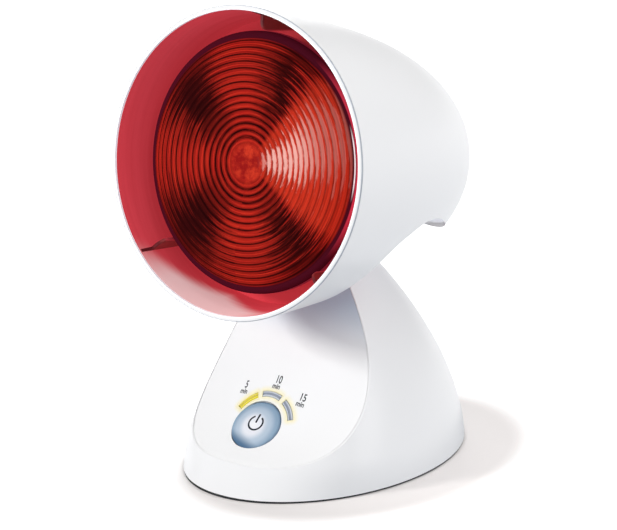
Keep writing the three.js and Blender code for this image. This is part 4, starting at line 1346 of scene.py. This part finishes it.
def liner_finish():
    """Glossy red inside of the rim, with painted shade to the back and the top right, a painted pale sheen
    below and a faint painted glow.
    """
    finish = Finish("liner_gloss", "liner_red", specular_ior_level=0.06)
    x, back, up = finish.head_place()
    sweep = finish.sweep(x, up)
    streaks = finish.noise(finish.vector(sweep * 0.9, back * 0.35, 0.0), scale=1.0, detail=3.0)
    # Painted shade: darker deeper into the hood, and at the top right.
    depth = finish.step(back, *LINER_PAINT["depth"])
    shade = finish.fall(abs(sweep - LINER_PAINT["shade_angle"]), *LINER_PAINT["shade_half"])
    # Painted reflection: a pale sheen low on the wall near the lip.
    from_sheen = abs(finish.past(sweep, LINER_PAINT["sheen_angle"]))
    reach = LINER_PAINT["sheen_reach"] - from_sheen * LINER_PAINT["sheen_narrowing"]
    past_reach = back + streaks * LINER_PAINT["sheen_streaks"] - reach
    sheen = finish.fall(from_sheen, *LINER_PAINT["sheen_half"])
    sheen = sheen * finish.fall(past_reach, *LINER_PAINT["sheen_edge"])
    colour = finish.mottled("liner", streaks)
    colour = finish.over(colour, "liner_deep_shade", depth * LINER_PAINT["depth_share"])
    colour = finish.over(colour, "liner_shade", shade * LINER_PAINT["shade_share"])
    colour = finish.over(colour, "liner_sheen", sheen * LINER_PAINT["sheen_share"])
    finish.set(base_color=colour, roughness=0.3 + streaks * 0.08)
    # Painted light: the liner glows in its own colour, though it is no lamp.
    finish.set(emission_color=colour, emission_strength=0.48)
    return finish.relief(streaks * 0.06, strength=0.3)


def fin_finish():
    """Brownish red fins: the brown is painted shade on the liner's red, with painted shade at the front
    edge, a painted highlight along the crest and a faint painted glow.
    """
    finish = Finish("fin_gloss", "liner_red", coat_weight=0.1, coat_roughness=0.15, specular_ior_level=0.25)
    x, back, up = finish.head_place()
    crest = finish.fall(distance(x, up), FIN["crest"], FIN["crest"] + FIN_PAINT["crest"])
    front = finish.fall(back, FIN["start"] + FIN_PAINT["front"], FIN["start"] + FIN_PAINT["front_end"])
    mottle = finish.noise(finish.place(), scale=0.3, detail=3.0)
    # Painted shade: the fins' brown is the liner's red darkened, as their faces lie in shade.
    colour = finish.mottled("fin", mottle)
    # Painted shade at the front edge and a painted highlight along the crest.
    colour = finish.over(colour, "fin_front_shade", front * FIN_PAINT["front_share"])
    colour = finish.over(colour, "fin_crest_highlight", crest * FIN_PAINT["crest_share"])
    finish.set(base_color=colour, roughness=0.34 + mottle * 0.1)
    # Painted light: a faint glow, though the fins are no lamp.
    finish.set(emission_color=colour, emission_strength=0.2)
    return finish.relief(mottle * 0.06, strength=0.3)


def lens_sectors(finish, sweep):
    """How deep the painted shade on the glass is round the turn: each sector has a core that fades to both
    sides.
    """
    dark = None
    for middle, core, before, after in SHADED_SECTORS:
        offset = finish.past(sweep, math.radians(middle))
        rise = finish.step(offset, -math.radians(core + before), -math.radians(core))
        sector = rise * finish.fall(offset, math.radians(core), math.radians(core + after))
        dark = sector if dark is None else finish.most(dark, sector)
    return dark


def lens_grooves(finish, colour, radius, bright, ragged):
    """Dark pressed rings, broken here and there, with fine threads between them further out."""
    phase = (radius - LENS["first_ring"]) / LENS["pitch"]
    groove = finish.math("COSINE", phase * TURN) * 0.5 + 0.5
    narrow = finish.step(radius, *LENS_PAINT["grooves_narrow"]) * LENS_PAINT["narrow_power"]
    groove = groove ** (LENS_PAINT["groove_power"] + narrow)
    groove = groove * finish.step(radius, *LENS_PAINT["grooves"])
    thread = finish.math("COSINE", phase * TURN * LENS_PAINT["thread_count"]) * 0.5 + 0.5
    thread = thread**2 * finish.step(radius, *LENS_PAINT["threads"])
    broken = finish.step(ragged, *LENS_PAINT["groove_break"]) * 0.5 + 0.5
    groove = groove * broken * (1.0 - bright * LENS_PAINT["bright_groove_loss"])
    thread = thread * (1.0 - bright * LENS_PAINT["bright_thread_loss"]) * LENS_PAINT["thread_share"]
    return finish.over(finish.over(colour, "lens_groove", groove), "lens_thread", thread)


def lens_streaks(finish, colour, radius, sweep, offset, bright):
    """Painted pale highlight streaks on the rings of the bright sector, most of them towards the middle."""
    phase = (radius - LENS["first_ring"]) / LENS["pitch"]
    crest = finish.math("SINE", phase * TURN) * 0.5 + 0.5
    streak_field = finish.vector(radius * 1.5, sweep * 4.5, 0.0)
    streak_noise = finish.noise(streak_field, scale=1.0, detail=6.0, roughness=0.75)
    lean = finish.step(radius, *LENS_PAINT["glint_lean"]) * LENS_PAINT["glint_lean_angle"]
    glint = finish.fall(abs(offset + lean), *LENS_PAINT["glint_half"])
    total = streak_noise * 1.3 + crest * 0.4 + glint * 0.45
    # Painted highlights: pale streaks in the bright sector.
    streak = finish.step(total, *LENS_PAINT["streaks"]) * bright
    fade = finish.step(radius, *LENS_PAINT["streaks_fade"]) * LENS_PAINT["streaks_fade_share"]
    return finish.over(colour, "lens_highlight_streak", streak * (1.0 - fade) * LENS_PAINT["streaks_share"])


def lens_disc(finish, colour, x, up, radius):
    """The clouded disc in the middle."""
    inner, outer = LENS["disc"] - LENS_PAINT["disc_inner"], LENS["disc"] + LENS_PAINT["disc_outer"]
    cloud = finish.noise(finish.vector(x, up, 3.0), scale=0.2, detail=4.0, roughness=0.6)
    clouded = finish.mottled("disc", finish.step(cloud, *LENS_PAINT["disc_mottle"]))
    return finish.mix(finish.fall(radius, inner, outer) * LENS_PAINT["disc_share"], colour, clouded)


def lens_bead(finish, colour, radius, offset, bead):
    """The dark bead round the glass, with a painted lit red band and a painted glint to the side."""
    # Painted light: a brighter red band and a pale glint on one side of the bead.
    band = finish.fall(abs(radius - LENS_PAINT["band_radius"]), *LENS_PAINT["band_half"])
    band = band * finish.fall(abs(offset), *LENS_PAINT["band_sweep"])
    glint = finish.fall(abs(offset - LENS_PAINT["bead_glint_angle"]), *LENS_PAINT["bead_glint_sweep"])
    from_glint = abs(radius - LENS_PAINT["bead_glint_radius"])
    glint = glint * finish.fall(from_glint, *LENS_PAINT["bead_glint_half"])
    colour = finish.over(colour, "bead", bead)
    colour = finish.over(colour, "bead_lit_band", band * LENS_PAINT["band_share"])
    return finish.over(colour, "bead_glint", glint * LENS_PAINT["bead_glint_share"])


def lens_finish():
    """Red pressed glass: grooves, painted light and shade in sectors, painted highlight streaks, a clouded
    disc and a faint painted glow.
    """
    finish = Finish("lens_glass", "lens_red", specular_ior_level=0.0)
    x, _, up = finish.head_place()
    radius = distance(x, up)
    sweep = finish.sweep(x, up)
    wander = finish.noise(finish.vector(x, up, 0.0), scale=0.07, detail=3.0, roughness=0.55)
    torn = finish.vector(radius * 1.3, sweep * 1.4, 9.0)
    ragged = finish.noise(torn, scale=1.0, detail=5.0, roughness=0.7)
    drawn = finish.vector(radius * 1.6, sweep * 1.4, 5.0)
    fine = finish.noise(drawn, scale=1.0, detail=4.0, roughness=0.65)
    wandering = (wander - 0.5) * LENS_PAINT["wander"] + (ragged - 0.5) * LENS_PAINT["raggedness"]
    # Painted shade in the dark sectors, and painted light in the bright sector on the right.
    dark = lens_sectors(finish, sweep + wandering)
    dark = dark * finish.step(radius, *LENS_PAINT["sectors"])
    dark = dark * (1.0 - finish.step(radius, *LENS_PAINT["sectors_fade"]) * LENS_PAINT["sectors_fade_share"])
    offset = finish.past(sweep, LENS_PAINT["bright_angle"])
    bright = finish.fall(abs(offset), *LENS_PAINT["bright_half"])
    bright = bright * finish.step(radius, *LENS_PAINT["bright"])
    red = finish.mottled("lens", finish.step(fine, *LENS_PAINT["mottle"]))
    red = finish.over(red, "lens_lit_sector", bright * LENS_PAINT["bright_share"])
    colour = finish.over(red, "lens_shaded_sector", dark * LENS_PAINT["sectors_share"])
    colour = lens_grooves(finish, colour, radius, bright, ragged)
    colour = lens_streaks(finish, colour, radius, sweep, offset, bright)
    colour = lens_disc(finish, colour, x, up, radius)
    bead = finish.step(radius, LENS["rim_radius"] - LENS_PAINT["bead"], LENS["rim_radius"])
    colour = lens_bead(finish, colour, radius, offset, bead)
    finish.set(base_color=colour, roughness=0.42 + fine * 0.1 - bead * 0.15)
    # Painted light: the glass, not the bead, glows faintly in its own colour.
    finish.set(emission_color=finish.mix(bead, NO_LIGHT, colour), emission_strength=0.35)
    return finish.relief(fine * 0.2, strength=0.2)


def silver_finish():
    """Mirror coat under glass, a little clouded, with the dark red of the lens at its front edge and a
    painted red glow there.
    """
    finish = Finish("silvered_glass", "bulb_red", coat_roughness=0.03)
    back = finish.head_place()[1]
    cloud = finish.noise(finish.place(), scale=0.06, detail=4.0, roughness=0.6)
    start = REFLECTOR["start"]
    mirror = finish.step(back, start + SILVER_PAINT["front"], start + SILVER_PAINT["front_end"])
    coat = finish.mottled("silver", cloud)
    # Painted light: the front edge glows dark red, though no lamp is there.
    glow = finish.mix(mirror, paint("silver_front_painted_glow"), NO_LIGHT)
    finish.set(base_color=finish.mix(mirror, paint("silver_front"), coat))
    finish.set(emission_color=glow, emission_strength=0.35)
    finish.set(metallic=mirror * 0.9, coat_weight=mirror, roughness=0.42 - mirror * 0.24 + cloud * 0.16)
    return finish.relief(cloud * 0.1, strength=0.3)


def board_finish():
    """Green board with faint copper tracks."""
    finish = Finish("green_board", "circuit_board", coat_weight=0.3, coat_roughness=0.2)
    x, up, _ = finish.panel_place(CONTROL)
    bend = finish.math("SINE", up * BOARD_PAINT["bends"]) * BOARD_PAINT["bend"]
    tracks = finish.step(finish.math("SINE", x * BOARD_PAINT["tracks"] + bend), *BOARD_PAINT["track"])
    mottle = finish.noise(finish.place(), scale=0.8, detail=3.0)
    colour = finish.over(paint("board"), "board_track", tracks * BOARD_PAINT["track_share"])
    colour = finish.over(colour, "board_mottle", mottle * BOARD_PAINT["mottle_share"])
    finish.set(base_color=colour, roughness=0.35 + mottle * 0.15)
    return finish.relief(tracks * 0.04, strength=0.3)


def shell_finish():
    look = SHELL["roughness"], PLASTIC["grain"], SHELL["coat"], SHELL["shine"]
    return moulded("shell_gloss", "shell_white", "shell", *look)


FINISHES = {
    "shell": shell_finish(),
    "hood": hood_finish(),
    "panel": panel_finish(),
    "plate": moulded("plate_satin", "grey_plastic", "plate", roughness=0.48, grain=3.0),
    "grey": moulded("grey_satin", "grey_plastic", "grey", roughness=0.5, grain=3.0),
    "black": moulded("black_satin", "black_plastic", "black", roughness=0.5, grain=3.0),
    "rubber": moulded("soft_rubber", "rubber", "rubber", roughness=0.85, grain=5.0),
    "button": button_finish(),
    "lit": bar_finish("bar_lit", "window_lit", glow=0.12),
    "unlit": bar_finish("bar_unlit", "window_unlit", glow=0),
    "board": board_finish(),
    "liner": liner_finish(),
    "fin": fin_finish(),
    "lens": lens_finish(),
    "silver": silver_finish(),
    "ceramic": moulded("glazed_ceramic", "ceramic", "ceramic", roughness=0.3, grain=1.0, coat=0.5),
    "steel": metal("drawn_steel", "steel", "steel", roughness=0.34, brushing=(0.4, 6.0, 0.4)),
    "brass": metal("turned_brass", "brass", "brass", roughness=0.3, brushing=(0.5, 5.0, 0.5)),
    "ink": moulded("grey_ink", "black_plastic", "ink", roughness=0.55, grain=4.0),
}

CAD_FINISHES = {
    "plate": ["base_plate"],
    "grey": ["terminal_block", "supply_capacitor", "friction_washer_1", "friction_washer_2"],
    "black": ["tact_switch", "relay", "tilt_arm", "cap_insulator"],
    "rubber": ["rubber_foot_1", "rubber_foot_2", "rubber_foot_3", "rubber_foot_4"],
    "lit": ["led_5_min"],
    "unlit": ["led_10_min", "led_15_min"],
    "board": ["timer_board"],
    "silver": ["bulb_stem"],
    "ceramic": ["lamp_holder"],
    "brass": ["pivot_insert", "holder_sleeve", "holder_contact", "bulb_cap", "cap_tip"],
}


def finished(obj, finish_name):
    obj.data.materials.clear()
    obj.data.materials.append(FINISHES[finish_name].material)
    return obj


def finish_frame():
    """Every node of the frame gets its finish, which is steel for all that the table leaves out."""
    chosen = {node: name for name, nodes in CAD_FINISHES.items() for node in nodes}
    for node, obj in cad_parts.items():
        finished(obj, chosen.get(node, "steel"))


def dressed(obj, finish_name, body, *nodes):
    """Gives a new piece its finish, and lets it ride in place of CAD nodes."""
    finished(obj, finish_name)
    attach(obj, body)
    if nodes:
        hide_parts(*nodes)


# Studio

STUDIO = {
    "floor_half": 40.0,
    "camera": (1.09839, -1.44027, 0.65736),
    "azimuth": math.radians(37.617),
    "elevation": math.radians(17.311),
    "lens": 233.4,
    "sensor": 36.0,
    "world": 0.2,
    "world_seen": 1.0,
}

# Name, place, size, power and colour of each lamp
LAMPS = [
    ("key", (-0.82, -1.41, 0.72), 0.3, 17.6, (1.0, 0.988, 0.972)),
    ("side", (1.75, 0.3, 0.45), 0.8, 13.0, (1.0, 0.99, 0.98)),
    ("front", (-0.15, -1.85, 0.3), 0.7, 4.2, (0.98, 0.99, 1.0)),
    ("fill", (1.15, -0.68, 1.37), 0.9, 5.0, (1.0, 1.0, 1.0)),
    ("top", (0.1, 0.35, 1.75), 1.0, 11.0, (1.0, 1.0, 1.0)),
    ("rear", (-1.2, 1.25, 0.8), 1.0, 8.5, (0.98, 0.99, 1.0)),
]
AIM = Vector((0, 0, 0.11))

# The floor round the base, in shares of the base's own plan: pairs are where an edge starts and ends
FLOOR = {
    "near": (0.99, 1.03),
    "near_glow": 0.07,
    "shadow_side_share": 0.25,
    "shadow_back_share": 0.05,
    "far": (1.1, 1.46),
    "far_glow": 0.79,
    "glow": 1.6,
    "bounce": (0.38, 0.41, 0.455, 1),
    "seen": (0.89, 0.85, 0.835, 1),
}


def floor_finish():
    """Near-white floor that keeps the lamp's shadow and fades to plain white away from it."""
    finish = Finish("white_floor", None, roughness=0.8, specular_ior_level=0.0)
    rays = finish.node("LightPath", {}, {})
    camera = Value(finish, rays.outputs["Is Camera Ray"])
    finish.set(base_color=finish.mix(camera, FLOOR["bounce"], FLOOR["seen"]))
    seen = finish.most(camera, Value(finish, rays.outputs["Is Glossy Ray"]))
    seen = finish.most(seen, Value(finish, rays.outputs["Is Transmission Ray"]))
    x, y, _ = finish.parts(finish.place())
    across, along = x / BASE["half_width"], y / BASE["rear_reach"]
    near = finish.step(distance(across, along), *FLOOR["near"])
    beyond = distance(across - FLOOR["shadow_side_share"], along - FLOOR["shadow_back_share"])
    glow_share = near * FLOOR["near_glow"] + finish.step(beyond, *FLOOR["far"]) * FLOOR["far_glow"]
    glow = finish.node("Emission", {}, {"Color": (1, 1, 1, 1), "Strength": FLOOR["glow"]})
    inputs = {0: seen * glow_share, 1: finish.shader.outputs[0], 2: glow.outputs[0]}
    total = finish.node("MixShader", {}, inputs)
    finish.join(finish.tree.nodes["Material Output"].inputs["Surface"], total.outputs[0])
    return finish


def build_floor():
    clear_selection()
    bpy.ops.mesh.primitive_plane_add(size=2 * STUDIO["floor_half"])
    floor = bpy.context.object
    floor.name = "studio_floor"
    floor.data.materials.append(floor_finish().material)


def build_world():
    """White air that lights the part softly and is plain white to the camera."""
    world = bpy.data.worlds.new("studio_air")
    bpy.context.scene.world = world
    world.use_nodes = True
    tree = world.node_tree
    air = tree.nodes["Background"]
    air.inputs["Color"].default_value = (1, 1, 1, 1)
    rays = tree.nodes.new("ShaderNodeLightPath")
    level = tree.nodes.new("ShaderNodeMapRange")
    tree.links.new(rays.outputs["Is Camera Ray"], level.inputs["Value"])
    level.inputs["To Min"].default_value = STUDIO["world"]
    level.inputs["To Max"].default_value = STUDIO["world_seen"]
    tree.links.new(level.outputs[0], air.inputs["Strength"])


def build_lamps():
    for name, place, size, power, colour in LAMPS:
        clear_selection()
        bpy.ops.object.light_add(type="AREA", location=place)
        lamp = bpy.context.object
        lamp.name = f"lamp_{name}"
        lamp.data.size = size
        lamp.data.energy = power
        lamp.data.color = colour
        lamp.visible_glossy = name != "key"
        lamp.rotation_euler = (Vector(place) - AIM).to_track_quat("Z", "Y").to_euler()


def build_camera():
    clear_selection()
    bpy.ops.object.camera_add(location=STUDIO["camera"])
    camera = bpy.context.object
    azimuth, elevation = STUDIO["azimuth"], STUDIO["elevation"]
    level = math.cos(elevation)
    back = Vector((math.sin(azimuth) * level, -math.cos(azimuth) * level, math.sin(elevation)))
    camera.rotation_euler = back.to_track_quat("Z", "Y").to_euler()
    camera.data.lens = STUDIO["lens"]
    camera.data.sensor_width = STUDIO["sensor"]
    camera.data.clip_end = 4 * STUDIO["floor_half"]
    bpy.context.scene.camera = camera
    bpy.context.scene.view_settings.view_transform = "Standard"


def build_lamp():
    finish_frame()
    dressed(base_housing(), "shell", "base", "base_shell")
    dressed(scooped_panel(), "panel", "base", "front_panel")
    # The dark strip is painted contact shadow, given the rubber finish
    dressed(contact_shadow_strip(), "rubber", "base")
    dressed(inlet_grommet(), "rubber", "base", "cord_inlet_ring")
    dressed(button_cap(), "button", "button", "power_button")
    for name, angle, finish_name in zip(BAR_NAMES, BAR_ANGLES, BAR_FINISHES):
        dressed(light_bar(name, angle), finish_name, "base", f"light_window_{name}")
    for index, label in enumerate(LABELS, 1):
        dressed(time_label(index, *label), "ink", "base")
    dressed(hood_housing(), "hood", "head", "hood_shell")
    dressed(rim_liner(), "liner", "head", "hood_liner")
    for index, angle in enumerate(FIN_ANGLES, 1):
        dressed(centring_fin(index, angle), "fin", "head", f"bulb_fin_{index}")
    dressed(ribbed_lens(), "lens", "bulb", "bulb_lens")
    dressed(bulb_envelope(), "silver", "bulb", "bulb_reflector")


build_camera()
build_world()
build_lamps()
build_floor()
build_lamp()
